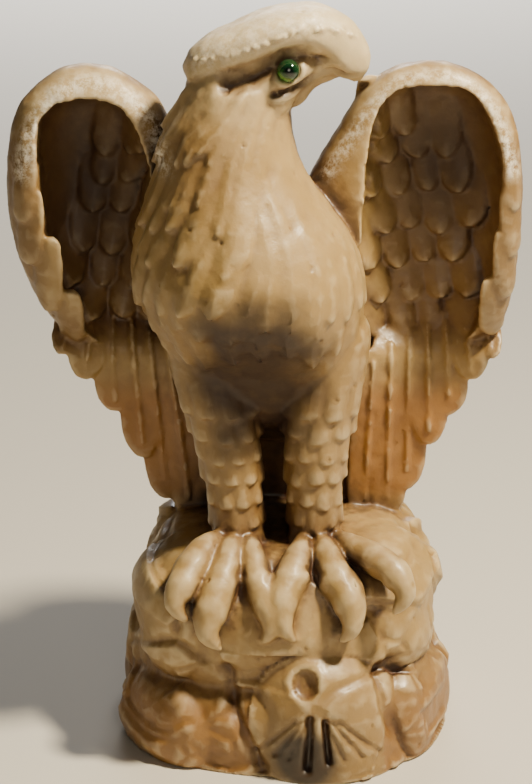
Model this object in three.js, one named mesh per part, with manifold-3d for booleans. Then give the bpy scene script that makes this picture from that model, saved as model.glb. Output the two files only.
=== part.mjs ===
// An eagle with raised, cupped wings on a rock, cast in resin in one piece, with two glass eyes.
// It faces -Y and looks to +X. The origin is on the rock's flat underside, under the middle of the perch.
import * as THREE from "three";
import { SimplifyModifier } from "three/addons/modifiers/SimplifyModifier.js";
import { mergeVertices } from "three/addons/utils/BufferGeometryUtils.js";
import Module from "manifold-3d";

const wasm = await Module();
wasm.setup();

// Driving dimensions, in millimetres.
const EAGLE_HEIGHT = 147; // from the perch to the crown
const ROCK_HEIGHT = 56; // from the underside to the perch
const ROCK_WIDTH = 91.4;
const ROCK_DEPTH = 90;
const EYE_DIAMETER = 5.8;
const EYE_CLEARANCE = 0.3; // all round each eye, in its socket
const EYE_STANDS_OUT = 2.7; // from the cheek to the eye's outermost point
const FEATHER_RELIEF = 2; // how far the tip of a covert stands off the wing
const HACKLE_RELIEF = 1.1; // how far the locks of the neck and breast stand off them
const DIMPLE_DIAMETER = 7.4; // the round hollow in the boss at the front of the rock
const DIMPLE_DEPTH = 2.4;
const SLOT_WIDTH = 2.4; // the two upright slots under the dimple
const SLOT_LENGTH = 13;

// The eagle's form is given in millimetres on an eagle of this height, above its perch, and grows with it.
const POSED_HEIGHT = 147;
// The rock's form is given in millimetres on a rock of this width, depth and height.
const SHAPED_ROCK = { width: 91.4, depth: 90, height: 56 };
const CASTING_TRIANGLES = 9000; // as many faces as show the carving
const MERGE_MM = 1e-4; // corners nearer than this are one corner
const TOUCHING_MM = 1e-3; // sheets nearer than this touch
const SHEET_GAP = 0.03; // how far apart touching sheets are drawn

const lerp = THREE.MathUtils.lerp;
const ease = (value, low, high) => THREE.MathUtils.smoothstep(value, low, high);

// A row between the rows of a table, on a smooth curve through them.
// share runs from 0 at the first row to 1 at the last.
function between(rows, share) {
  const place = Math.min(Math.max(share, 0), 1) * (rows.length - 1);
  const at = Math.min(Math.floor(place), rows.length - 2);
  const part = place - at;
  const row = (i) => rows[Math.min(Math.max(i, 0), rows.length - 1)];
  return rows[0].map((_, k) => {
    const [a, b, c, d] = [row(at - 1)[k], row(at)[k], row(at + 1)[k], row(at + 2)[k]];
    const bend = 2 * a - 5 * b + 4 * c - d;
    const twist = 3 * b - 3 * c + d - a;
    return b + 0.5 * part * (c - a + part * (bend + part * twist));
  });
}

// The row of a table at a height, where the first column is the height.
function atHeight(rows, z) {
  const rising = rows.at(-1)[0] > rows[0][0];
  let [low, high] = [0, 1];
  for (let i = 0; i < 20; i++) {
    const middle = (low + high) / 2;
    const under = between(rows, middle)[0] < z;
    if (under === rising) low = middle;
    else high = middle;
  }
  return between(rows, low);
}

// A closed skin: a ball's grid, whose points move to pointAt(turn, share).
// turn runs 0 to 1 around the form, and share 0 to 1 from its first end to its last.
function skin(around, along, pointAt) {
  const ball = new THREE.SphereGeometry(1, around, along);
  const grid = ball.getAttribute("uv");
  const points = ball.getAttribute("position");
  for (let i = 0; i < grid.count; i++) {
    points.setXYZ(i, ...pointAt(grid.getX(i), 1 - grid.getY(i)));
  }
  return ball;
}

// A closed geometry as a solid that can be joined and cut.
function solidOf(geometry) {
  const bare = geometry.clone();
  bare.deleteAttribute("normal");
  bare.deleteAttribute("uv");
  const merged = mergeVertices(bare, MERGE_MM);
  const corners = merged.index.array;
  const faces = [];
  for (let i = 0; i < corners.length; i += 3) {
    const [a, b, c] = [corners[i], corners[i + 1], corners[i + 2]];
    if (a !== b && b !== c && c !== a) faces.push(a, b, c);
  }
  const made = (triVerts) =>
    new wasm.Manifold(
      new wasm.Mesh({
        numProp: 3,
        vertProperties: merged.getAttribute("position").array,
        triVerts: new Uint32Array(triVerts),
      }),
    );
  const solid = made(faces);
  return solid.volume() > 0 ? solid : made(faces.reverse());
}

function geometryOf(solid) {
  const mesh = solid.getMesh();
  const geometry = new THREE.BufferGeometry();
  geometry.setAttribute("position", new THREE.BufferAttribute(mesh.vertProperties, 3));
  geometry.setIndex(new THREE.BufferAttribute(mesh.triVerts, 1));
  return geometry;
}

const joined = (solids) => wasm.Manifold.union(solids);

// The outer shell of a casting: what the joined forms close off inside it is solid resin.
const outerShell = (solid) => solid.decompose().reduce((a, b) => (b.volume() > a.volume() ? b : a));

// The same solid with fewer faces, where they are flattest.
async function thinned(solid, triangles) {
  const fine = geometryOf(solid);
  const count = fine.getAttribute("position").count;
  const spare = Math.max(0, Math.floor(count * (1 - triangles / solid.numTri())));
  return solidOf(await new SimplifyModifier().modify(fine, spare));
}

// A casting whose sheets touch nowhere: where corners of two sheets share a place, each is drawn back
// towards the faces around it by SHEET_GAP.
function drawnApart(geometry) {
  const points = geometry.getAttribute("position");
  const corners = geometry.index.array;
  const point = (i) => new THREE.Vector3().fromBufferAttribute(points, i);
  const sharing = new Map();
  for (let i = 0; i < points.count; i++) {
    const place = point(i).multiplyScalar(1 / TOUCHING_MM).round().toArray().join(" ");
    sharing.set(place, [...(sharing.get(place) ?? []), i]);
  }
  const shared = [...sharing.values()].filter((group) => group.length > 1).flat();
  const around = new Map(shared.map((i) => [i, []]));
  for (let i = 0; i < corners.length; i++) {
    const first = i - (i % 3);
    around.get(corners[i])?.push(point(corners[first + ((i + 1) % 3)]));
  }
  const moves = [...around].map(([i, ring]) => {
    const middle = ring.reduce((sum, p) => sum.add(p), new THREE.Vector3()).divideScalar(ring.length);
    return [i, point(i).add(middle.sub(point(i)).setLength(SHEET_GAP))];
  });
  for (const [i, place] of moves) points.setXYZ(i, ...place.toArray());
  return geometry;
}

// An upright form: rows of [z, x, y, half width, reach to the front, reach to the back], lowest first.
// corner is 2 for a round section, and more for a boxier one.
const bow = (value, corner) => Math.sign(value) * Math.abs(value) ** (2 / corner);
function uprightPoint(rows, turn, share, corner = 2) {
  const [z, x, y, half, front, back] = between(rows, share);
  const c = bow(Math.cos(2 * Math.PI * turn), corner);
  const s = bow(Math.sin(2 * Math.PI * turn), corner);
  return [x + half * c, y + (s < 0 ? front : back) * s, z];
}
const upright = (rows, around, along, corner) =>
  solidOf(skin(around, along, (turn, share) => uprightPoint(rows, turn, share, corner)));

// A point of an upright form's surface, at an angle from the front towards +X, and at a height.
const onUpright = (rows, corner = 2) => (angle, height) => {
  const [z, x, y, half, front, back] = atHeight(rows, height);
  const c = bow(Math.sin(angle), corner);
  const s = bow(-Math.cos(angle), corner);
  return {
    at: [x + half * c, y + (s < 0 ? front : back) * s, height],
    out: [Math.sin(angle), -Math.cos(angle), 0],
  };
};

// A form along X, such as a head: rows of [x, y, half depth, top, bottom], first end first.
const along = (rows, around, steps, corner) =>
  solidOf(
    skin(around, steps, (turn, share) => {
      const [x, y, half, top, bottom] = between(rows, share);
      const c = bow(Math.cos(2 * Math.PI * turn), corner);
      const s = bow(Math.sin(2 * Math.PI * turn), corner);
      return [x, y + half * c, (top + bottom) / 2 + ((top - bottom) / 2) * s];
    }),
  );

// A round form along a path: rows of [x, y, z, radius].
function limb(rows, around, steps, flatness = 1) {
  const step = 0.02;
  return solidOf(
    skin(around, steps, (turn, share) => {
      const [x, y, z, radius] = between(rows, share);
      const ahead = new THREE.Vector3(...between(rows, Math.min(share + step, 1)));
      const behind = new THREE.Vector3(...between(rows, Math.max(share - step, 0)));
      const way = ahead.sub(behind).normalize();
      const side = new THREE.Vector3(1, 0, 0).addScaledVector(way, -way.x).normalize();
      const over = way.clone().cross(side);
      const end = share < 1e-6 || share > 1 - 1e-6 ? 0 : radius;
      const p = new THREE.Vector3(x, y, z);
      p.addScaledVector(side, end * Math.cos(2 * Math.PI * turn));
      p.addScaledVector(over, end * flatness * Math.sin(2 * Math.PI * turn));
      return p.toArray();
    }),
  );
}

// A feather lying on a surface, from root to tip, with its rounded end raised off the surface.
// surface(p, q) gives a point of the surface and the way out of it.
const FEATHERS = {
  covert: { widths: [0, 0.9, 1, 0.74, 0], stations: [0, 0.3, 0.62, 0.86, 1] },
  lock: { widths: [0, 1, 0.9, 0.5, 0], stations: [0, 0.3, 0.62, 0.86, 1] },
  flight: { widths: [0, 0.9, 0.95, 1, 1, 0.74, 0], stations: [0, 0.08, 0.2, 0.5, 0.86, 0.95, 1] },
};
// A feather's section: [share of the half width, share of the rise]. A rise of -1 is below the surface.
const FEATHER_SECTION = [
  [1, 0.4],
  [0.4, 1],
  [-0.4, 1],
  [-1, 0.4],
  [0, -1],
];
function feather(surface, root, tip, halfWidth, rise, sink, kind = "covert") {
  const { widths, stations } = FEATHERS[kind];
  const [dp, dq] = [tip[0] - root[0], tip[1] - root[1]];
  const length = Math.hypot(dp, dq);
  const last = widths.length - 1;
  return solidOf(
    skin(FEATHER_SECTION.length, last, (turn, share) => {
      const station = Math.round(share * last);
      const s = stations[station];
      const end = station === 0 || station === last;
      const corner = Math.round(Math.max(turn, 0) * FEATHER_SECTION.length) % FEATHER_SECTION.length;
      const [side, up] = FEATHER_SECTION[corner];
      const across = end ? 0 : halfWidth * widths[station] * side;
      const p = root[0] + dp * s - (dq / length) * across;
      const q = root[1] + dq * s + (dp / length) * across;
      const top = rise * lerp(0.2, 1, s);
      const height = end ? (station === 0 ? -0.5 * sink : 0.35 * top) : up < 0 ? -sink : top * up;
      const { at, out } = surface(p, q);
      return [at[0] + out[0] * height, at[1] + out[1] * height, at[2] + out[2] * height];
    }),
  );
}

// A pointed lock on a rounded form, placed by angle and height. radius turns its angles into lengths.
function onScaled(surface, radius, [rootAngle, rootZ], [tipAngle, tipZ], halfAngle, rise, sink) {
  const flat = (p, q) => surface(p / radius, q);
  const root = [rootAngle * radius, rootZ];
  const tip = [tipAngle * radius, tipZ];
  return feather(flat, root, tip, halfAngle * radius, rise, sink, "lock");
}

// The body, from the vent up into the head.
const TORSO = [
  [20, -3, 15, 0, 0, 0],
  [25, -3.5, 12, 15, 9, 12],
  [34, -4.6, 4, 20, 15, 19],
  [44, -5.4, 0, 22.5, 20, 22],
  [56, -7.4, -4, 26, 29.5, 24],
  [66, -9, -6, 28.6, 33.5, 25],
  [76, -10.2, -7, 29.6, 33.5, 25],
  [86, -11, -7.5, 27.4, 29.5, 24],
  [95, -12.8, -8, 22.8, 25, 21.5],
  [104, -14.6, -8.5, 18.6, 20.5, 19],
  [113, -15, -8.8, 16.2, 17.5, 16.5],
  [122, -13.8, -9, 14, 14.5, 14],
  [131, -13, -9.5, 11.5, 11.5, 11.5],
  [138, -13, -9.5, 0, 0, 0],
];
// The skull and the beak, from the nape to the beak's front.
const SKULL = [
  [-27.4, -10, 0, 131, 131],
  [-25, -10, 5.5, 135.5, 125],
  [-21.5, -10, 8.6, 138, 118],
  [-16, -10, 10.8, 140, 114],
  [-9, -10, 11.4, 143, 112],
  [-3, -10, 11.2, 144, 114],
  [2, -10, 10.4, 144.5, 123.4],
  [6.5, -10, 10, 144.5, 127.4],
  [11, -10, 8.9, 143, 129],
  [15, -10, 7.4, 141, 129.6],
  [18.2, -10, 5, 138, 130],
  [20.4, -10, 0, 134, 134],
];
// The flat crown, which overhangs the cheeks as a brow and runs down into the beak.
const CROWN = [
  [-27.8, -10, 0, 131, 131],
  [-25.5, -10, 6.5, 135.4, 127],
  [-21, -10, 10, 139, 128],
  [-15, -10, 12.2, 142, 129.3],
  [-9, -10, 13, 144.7, 131.6],
  [-3, -10, 13, 146.4, 133.8],
  [2, -10, 12.2, 147, 135.2],
  [6.5, -10, 11, 147, 134.6],
  [11, -10, 9.4, 145.8, 130],
  [15, -10, 7.8, 143.6, 127.8],
  [18.4, -10, 5.6, 140, 128.4],
  [20.4, -10, 3.4, 136, 130.5],
  [21.2, -10, 0, 133, 133],
];
const HOOK = [
  [17, -10, 133, 1],
  [18.4, -10, 131, 2.7],
  [18.3, -10, 128.8, 2.2],
  [17.6, -10, 127.4, 1.3],
  [17.2, -10, 126.6, 0],
];
const MANDIBLE = [
  [-6, -10, 119, 1],
  [-1, -10, 124.6, 5.2],
  [5, -10, 128.6, 3.8],
  [11, -10, 130.4, 2.8],
  [15, -10, 130.6, 2],
  [16, -10, 131, 0],
];
// The eye's middle, and how far the cheek lies from the head's middle plane.
const EYE_PLACE = { x: -0.3, z: 131.6, cheek: 10.6 };
const HEAD_MIDDLE_Y = -10;

// A wing: rows of [z, inner x, outer x, y, reach to the front, reach to the back], highest first.
const LEFT_WING = [
  [129.6, -53, -53, 4, 0, 0],
  [127.9, -46, -60.5, 4.5, 4.5, 6],
  [124, -40, -66.3, 5, 8, 11],
  [119, -34.5, -71.3, 5, 9.5, 16],
  [112, -31.5, -74, 5, 10.5, 18],
  [103, -30, -75.4, 5, 11, 19],
  [92, -28.5, -75.8, 5, 11, 19],
  [80, -26, -74.2, 6, 11, 18],
  [68, -22, -70.5, 8, 10, 16],
  [57, -17, -64.5, 10.5, 7.5, 13],
  [47, -14, -55, 13.5, 1.5, 9.5],
  [36, -12, -45, 15, 0.8, 8.5],
  [24, -11, -38, 16.4, 0.8, 7.6],
  [12, -10, -33, 17, 0.8, 7],
  [0, -9, -29, 17, 0.8, 7],
  [-6, -20, -20, 17, 0, 0],
];
const RIGHT_WING = [
  [130.4, 37.5, 37.5, 4, 0, 0],
  [128.6, 29, 45.5, 4.5, 4.5, 6],
  [124.6, 22.5, 52.8, 5, 8, 11],
  [119, 17.5, 58, 5, 9.5, 16],
  [112, 13.5, 61, 5, 10.5, 18],
  [103, 8, 62.5, 5, 11, 19],
  [92, 3, 63.2, 5, 11, 19],
  [80, 3, 62.8, 6, 11, 18],
  [68, 3, 62, 8, 10, 16],
  [57, 3, 59.5, 10.5, 7.5, 13],
  [47, 3, 52.5, 13.5, 1.5, 9.5],
  [36, 3, 44.5, 15, 0.8, 8.5],
  [24, 2, 38, 16.4, 0.8, 7.6],
  [12, 2, 33.5, 17, 0.8, 7],
  [0, 2, 31, 17, 0.8, 7],
  [-6, 18, 18, 17, 0, 0],
];
// The hollow of a wing: rows of [z, inner x, outer x, depth behind the wing's middle], highest first.
const LEFT_HOLLOW = [
  [121, -53, -53, 0],
  [119.6, -46, -61, 6],
  [114, -41, -66, 10],
  [104, -37.5, -67, 13],
  [92, -36, -66.6, 14],
  [80, -34.5, -65.6, 13.5],
  [68, -33, -62.5, 11],
  [57, -31, -57, 7],
  [48, -33, -50, 3],
  [42, -41, -41, 0],
];
const RIGHT_HOLLOW = [
  [124.5, 38, 38, 0],
  [123, 28.5, 47, 6],
  [117, 23.5, 52.5, 10],
  [106, 21, 56.5, 13],
  [92, 20, 58.4, 14],
  [80, 19.4, 58.4, 13.5],
  [68, 19, 56.5, 11],
  [57, 19, 52.5, 7],
  [48, 22, 46, 3],
  [42, 34, 34, 0],
];
const WING_CORNER = 2.5;
const HOLLOW_CORNER = 2.4;
const HOLLOW_MOUTH = 26; // how far the hollow's cut runs forward of the wing's middle
const wingRows = (wing) =>
  wing.map(([z, inner, outer, y, front, back]) => [
    z,
    (inner + outer) / 2,
    y,
    Math.abs(outer - inner) / 2,
    front,
    back,
  ]);
const hollowRows = (wing, hollow) =>
  hollow.map(([z, inner, outer, depth], i) => {
    const end = i === 0 || i === hollow.length - 1;
    const middle = atHeight(wingRows(wing), z)[2];
    const half = Math.abs(outer - inner) / 2;
    return [z, (inner + outer) / 2, middle, half, end ? 0 : HOLLOW_MOUTH, depth];
  });

// A side of an upright form as a surface of x and z, such as a wing's back or the floor of its hollow.
// way is 1 where the surface looks back, and -1 where it looks to the front.
function sideOf(rows, corner, way, reachOf) {
  const steepest = 0.95; // as a share of the half width: past it the side is taken as level
  const depthAt = (x, z) => {
    const row = atHeight(rows, z);
    const off = Math.min(Math.abs(x - row[1]) / Math.max(row[3], 0.01), steepest);
    return row[2] + reachOf(row) * (1 - off ** corner) ** (1 / corner);
  };
  const step = 1.5;
  return (x, z) => {
    const slopeX = (depthAt(x + step, z) - depthAt(x - step, z)) / (2 * step);
    const slopeZ = (depthAt(x, z + step) - depthAt(x, z - step)) / (2 * step);
    const out = new THREE.Vector3(-slopeX * way, way, -slopeZ * way).normalize();
    return { at: [x, depthAt(x, z), z], out: out.toArray() };
  };
}

// The panel that the long flight feathers lie on. It curls forward at its sides, the more so the higher,
// and runs up into the floor of the hollow.
const PANEL_FOOT_Y = 14.5;
const PANEL_DIP = 2.6; // how far its middle height comes forward of its foot
const PANEL_CURL = { foot: 0.003, top: 0.017 };
const panelOf = (middle, floor) => (x, z) => {
  const curl = lerp(PANEL_CURL.foot, PANEL_CURL.top, ease(z, 20, 60));
  const y = PANEL_FOOT_Y - PANEL_DIP * ease(z, 0, 40) - curl * (x - middle) ** 2;
  const into = ease(z, 46, 58);
  return { at: [x, into > 0 ? lerp(y, floor(x, z).at[1], into) : y, z], out: [0, -1, 0] };
};
// Where the flight feathers of a wing start and end: [root x, root z, tip x, tip z], outermost first.
const LEFT_FLIGHTS = [
  [-59, 62, -63, 48],
  [-54, 61, -56.5, 40],
  [-49, 60, -48.5, 30],
  [-44, 59, -40.5, 16],
  [-39, 57, -34, 3],
  [-34, 55, -27, -3],
  [-29, 50, -21, -3],
];
const RIGHT_FLIGHTS = [
  [53, 62, 57, 47],
  [49, 61, 51.5, 40],
  [44, 60, 45.6, 29],
  [39, 59, 40, 20],
  [34, 57, 34, 6],
  [29, 54, 28.5, -3],
  [24, 49, 22, -3],
];
const FLIGHTS = 8; // in each wing
const FLIGHT_HALF_WIDTH = 4.9;
const FLIGHT_RELIEF = 1.6;
const FLIGHT_STEP = 0.35; // how far every other flight feather stands over its neighbours

// Rows of coverts in a wing: [z of the tips, x nearest the body, x farthest from it]. Every other row is
// shifted by half a feather.
const LEFT_COVERTS = [
  [95, -39.5, -43],
  [85, -38, -48],
  [75, -37, -58],
  [65, -36, -60],
  [55, -35, -60],
];
const RIGHT_COVERTS = [
  [101, 24, 30],
  [91, 22.5, 33],
  [81, 22, 37],
  [71, 22, 46],
  [61, 22, 54],
  [51, 24, 50],
];
const COVERT_SPACING = 8.6;
const COVERT_HALF_WIDTH = 4.7;
const COVERT_LENGTH = 17;
const COVERT_TILT = 3; // how far its root lies nearer the body than its tip
// Feathers that curl over the outer rim: [z of the tip, x, half width, length].
const RIM_LEAN = 0.8; // how far a tip lies out from its root
const RIM_RELIEF = 1.5;
const LEFT_RIM = [
  [94, -70.4, 3.4, 24],
  [78, -69.4, 3.7, 22],
  [62, -65, 3.9, 22],
  [50, -60, 3.8, 18],
];
const RIGHT_RIM = [
  [100, 59.6, 2.9, 22],
  [85, 60, 3.1, 21],
  [69, 59.4, 3.4, 22],
  [54, 56.4, 3.8, 20],
];

const BACK_COVERTS = [98, 80, 62]; // the heights of the tips of the rows on a wing's back

function wing(rows, hollow, flights, coverts, rim) {
  const face = sideOf(hollowRows(rows, hollow), HOLLOW_CORNER, -1, (row) => row[5]);
  const rimFace = sideOf(wingRows(rows), WING_CORNER, -1, (row) => -row[4]);
  const back = sideOf(wingRows(rows), WING_CORNER, 1, (row) => row[5]);
  const cut = upright(hollowRows(rows, hollow), 22, 16, HOLLOW_CORNER);
  const parts = [upright(wingRows(rows), 26, 20, WING_CORNER).subtract(cut)];
  const side = Math.sign(rows[5][2]);
  const panel = panelOf((flights[0][0] + flights.at(-1)[0]) / 2, face);
  for (let i = 0; i < FLIGHTS; i++) {
    const [rootX, rootZ, tipX, tipZ] = between(flights, i / (FLIGHTS - 1));
    const rise = FLIGHT_RELIEF + FLIGHT_STEP * (i % 2);
    parts.push(feather(panel, [rootX, rootZ], [tipX, tipZ], FLIGHT_HALF_WIDTH, rise, 5, "flight"));
  }
  for (const [row, [z, near, far]] of coverts.entries()) {
    const start = row % 2 ? COVERT_SPACING / 2 : 0;
    for (let along = start; along <= Math.abs(far - near); along += COVERT_SPACING) {
      const x = near + side * along;
      const root = [x - side * COVERT_TILT, z + COVERT_LENGTH];
      parts.push(feather(face, root, [x, z], COVERT_HALF_WIDTH, FEATHER_RELIEF, 1.8));
    }
  }
  for (const [z, x, half, length] of rim) {
    const lean = side * RIM_LEAN;
    parts.push(feather(rimFace, [x - lean, z + length], [x, z], half, RIM_RELIEF, 2.4));
  }
  for (const [row, z] of BACK_COVERTS.entries()) {
    const [, middle, , half] = atHeight(wingRows(rows), z);
    for (let i = (row % 2) / 2 - 1; i <= 1; i++) {
      const x = middle + side * 2 + i * half * 0.56;
      parts.push(feather(back, [x, z + 20], [x, z], half * 0.3, FEATHER_RELIEF, 1.6));
    }
  }
  return joined(parts);
}

// A leg in its trousers of feathers: rows of [z, distance from the middle, y, half width, front, back].
const LEG = [
  [-4, 10.6, -13, 0, 0, 0],
  [-1, 10.6, -13, 6.4, 6.8, 20],
  [8, 10.6, -12.5, 6.6, 7.4, 20],
  [20, 11.2, -12, 7.4, 8.2, 20],
  [32, 12.4, -11, 8.8, 9.6, 20],
  [42, 14, -10, 10, 11.4, 20],
  [52, 16, -9, 11, 13, 20],
  [62, 18, -8, 9, 11, 18],
  [68, 18, -8, 0, 0, 0],
];
const legMiddle = (z) => -3 - 0.045 * z;
const legRows = (side) => LEG.map(([z, x, ...rest]) => [z, legMiddle(z) + side * x, ...rest]);

const TROUSER_ROWS = 5;
const TROUSER_FEATHER = 12; // its length
const trouserFeather = (surface, angle, z) =>
  onScaled(surface, 8, [angle, z + TROUSER_FEATHER], [angle, z], 0.37, 1.2, 1);

function leg(side) {
  const rows = legRows(side);
  const parts = [upright(rows, 14, 10)];
  const surface = onUpright(rows);
  for (let level = 0; level < TROUSER_ROWS; level++) {
    const z = lerp(1, 38, level / (TROUSER_ROWS - 1));
    const angles = level % 2 ? [-1.05, -0.35, 0.35, 1.05] : [-0.7, 0, 0.7];
    for (const angle of angles) parts.push(trouserFeather(surface, angle, z));
  }
  return joined(parts);
}

// A toe runs from the ankle over a thick knuckle to a hooked claw: rows of [x, y, z, radius].
const TOES = [
  [
    [-16, -15, 3, 2],
    [-21.5, -23.5, 3.2, 3.6],
    [-25, -30, 0.8, 4.6],
    [-28.2, -35.4, -3, 4.6],
    [-30, -38.6, -7.4, 3],
    [-27.6, -39.6, -11, 1.2],
    [-26, -39.6, -11.8, 0],
  ],
  [
    [-14, -15, 3, 2],
    [-15.6, -24.5, 2.2, 3.8],
    [-17.6, -32, -2.4, 4.8],
    [-20.4, -37.4, -8.4, 5],
    [-21.4, -40.4, -14.4, 3.4],
    [-18.8, -41.2, -18.4, 1.3],
    [-17, -41.2, -19, 0],
  ],
  [
    [-11, -15, 3, 2],
    [-10, -24.5, 2, 3.4],
    [-8.4, -32, -2.8, 4.2],
    [-5.6, -37.4, -8.4, 4],
    [-4.4, -40.2, -13.4, 2.8],
    [-6.2, -40.8, -16.8, 1.1],
    [-7.6, -40.8, -17.2, 0],
  ],
  [
    [5, -15, 3, 2],
    [3.4, -24.5, 2, 3.6],
    [0.8, -32, -2, 4.6],
    [-1.8, -37, -7, 4.5],
    [-1.6, -40.2, -12.4, 3],
    [1, -41, -16.2, 1.2],
    [2.6, -41, -16.8, 0],
  ],
  [
    [8.5, -15, 3, 2],
    [10, -24.5, 2.2, 3.6],
    [12.4, -32, -1.6, 4.6],
    [15.8, -37, -6.8, 4.5],
    [16.8, -40.4, -12.4, 3.1],
    [14.4, -41, -16.2, 1.2],
    [12.8, -41, -16.8, 0],
  ],
  [
    [12, -15, 3, 2],
    [17, -23.5, 3.2, 3.4],
    [22.4, -29.4, 2.2, 4.3],
    [28, -34.6, 0, 4.3],
    [30.8, -38, -4.4, 3],
    [28.4, -39.2, -8.8, 1.2],
    [26.8, -39.2, -9.4, 0],
  ],
];

// The tail, behind the legs, from the rock up to the back: an upright form.
const TAIL = [
  [-8, -3, 25, 0, 0, 0],
  [-5, -3, 25, 15, 6, 4],
  [8, -3.4, 24, 16, 8, 5],
  [22, -4, 22, 15, 9, 6],
  [36, -4.6, 18, 15, 9, 8],
  [50, -6, 12, 14, 8, 10],
  [58, -6, 10, 0, 0, 0],
];

// Locks of hackle from the neck over the breast: [angle at the top, z, angle at the tip, z, half angle].
const HACKLES = [
  [-0.9, 113, -1.45, 80, 0.17],
  [-0.5, 110, -1.15, 83, 0.16],
  [-0.2, 104, -0.85, 74, 0.15],
  [-0.72, 92, -1.1, 67, 0.15],
  [0.05, 97, -0.5, 70, 0.14],
  [-0.35, 84, -0.66, 61, 0.14],
  [0.1, 86, -0.2, 58, 0.13],
  [-1.3, 76, -1.2, 52, 0.15],
  [-0.9, 68, -0.88, 47, 0.14],
  [1.15, 70, 1.15, 46, 0.14],
];

function body() {
  const torso = onUpright(TORSO);
  const parts = [upright(TORSO, 26, 20)];
  for (const [top, topZ, tip, tipZ, half] of HACKLES)
    parts.push(onScaled(torso, 24, [top, topZ], [tip, tipZ], half, HACKLE_RELIEF, 1.4));
  return joined(parts);
}

function head() {
  return joined([
    along(SKULL, 18, 16, 2.2),
    along(CROWN, 20, 18, 2.4),
    limb(HOOK, 8, 6),
    limb(MANDIBLE, 8, 7),
  ]);
}

function eagle() {
  const parts = [body(), head(), leg(-1), leg(1), upright(TAIL, 10, 6)];
  parts.push(wing(LEFT_WING, LEFT_HOLLOW, LEFT_FLIGHTS, LEFT_COVERTS, LEFT_RIM));
  parts.push(wing(RIGHT_WING, RIGHT_HOLLOW, RIGHT_FLIGHTS, RIGHT_COVERTS, RIGHT_RIM));
  for (const toe of TOES) parts.push(limb(toe, 9, 12));
  const size = EAGLE_HEIGHT / POSED_HEIGHT;
  return joined(parts).scale([size, size, size]).translate([0, 0, ROCK_HEIGHT]);
}

// The rock: an upper block that the toes grip, two low stones beside its foot, and a boss at the front.
const UPPER_ROCK = [
  [-6, -2, 0, 0, 0, 0],
  [-4, -2, 0, 38, 34, 36],
  [8, -1.6, 0, 41, 36, 39],
  [18, -1.6, 0, 42.6, 37.5, 40],
  [28, -1.4, 0, 41.6, 39, 39],
  [37, -0.9, 0, 40, 40, 38],
  [45, -0.6, 0, 38.6, 38, 36.5],
  [51, -0.6, 0, 36.6, 34.5, 35],
  [55, -0.6, 0, 33.6, 30, 32],
  [57.4, -0.6, 0, 26, 24, 26],
  [58.2, -0.6, 0, 0, 0, 0],
];
const LOWER_ROCK = [
  [-6, 0, -2, 0, 0, 0],
  [-4, 0, -2, 40, 38, 39],
  [5, 0, -2, 43.6, 41.5, 42.5],
  [13, 0, -2, 44, 42, 43.5],
  [18, 0, -2, 43, 41, 42.5],
  [21.5, 0, -2, 40, 38, 40],
  [23, 0, -2, 34, 32, 34],
  [24, 0, -2, 0, 0, 0],
];
// Low stones at the rock's foot: [x, y, z, half width, half depth, half height, turn about Z].
const FOOT_STONES = [
  [-26, -18, 8, 18.5, 22, 15.6, 0.5],
  [31, -15, 9, 13.5, 23, 16.6, -0.32],
  [-25.5, 17, 8, 18, 23, 14.5, -0.5],
  [26, 18, 8, 18, 22, 15, 0.5],
];
const STONE_CORNER = 2.5; // 2 for a round stone, and more for a boxier one
// Stones that the upper block is built up of.
const UPPER_STONES = [
  [-25, -14, 36, 17, 20, 20, 0.35],
  [24, -10, 38, 17.5, 21, 20, -0.3],
  [-24, 18, 37, 18, 18, 19, -0.3],
  [23, 17, 38, 18, 18, 19, 0.3],
];
const BOSS = [
  [-6, 9, -26, 0, 0, 0],
  [-4, 9, -26, 21, 20, 14],
  [6, 9, -26, 23.5, 22, 16],
  [15, 8.6, -26, 23, 22, 16],
  [23, 7.8, -26, 20.5, 20.6, 14],
  [30, 6.6, -26, 16, 17, 12],
  [35, 6, -26, 9.4, 11, 8],
  [36.8, 6, -26, 0, 0, 0],
];
const DIMPLE = { angle: -0.1, z: 27.4 };
const SLOTS = [-0.08, 0.12]; // angles around the boss
// Shallow grooves that fan out below the dimple: angles around the boss at the top and at the foot.
const BOSS_GROOVES = [
  [-0.75, -1.05],
  [-0.42, -0.55],
  [0.38, 0.5],
  [0.62, 0.85],
  [0.9, 1.2],
];
// The deep creases at the two sides of the boss: rows of [x, y, z, radius].
const CREVICES = [
  [
    [-13, -50, 26, 1],
    [-12, -46, 22, 3],
    [-12.5, -48, 12, 3.2],
    [-11, -50, 0, 3],
    [-11, -50, -6, 1],
  ],
  [
    [27, -50, 30, 1],
    [28.6, -42, 24, 2.6],
    [31, -42, 14, 3],
    [34, -40, 2, 3],
    [35, -40, -6, 1],
  ],
];

// A cut along the boss from one height to another, at an angle around it.
function groove(angleTop, zTop, angleFoot, zFoot, radius) {
  const surface = onUpright(BOSS);
  const rows = [];
  for (let i = 0; i <= 4; i++) {
    const s = i / 4;
    const { at } = surface(lerp(angleTop, angleFoot, s), lerp(zTop, zFoot, s));
    rows.push([...at, i === 0 || i === 4 ? 0 : radius]);
  }
  return limb(rows, 6, 5);
}

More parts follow.
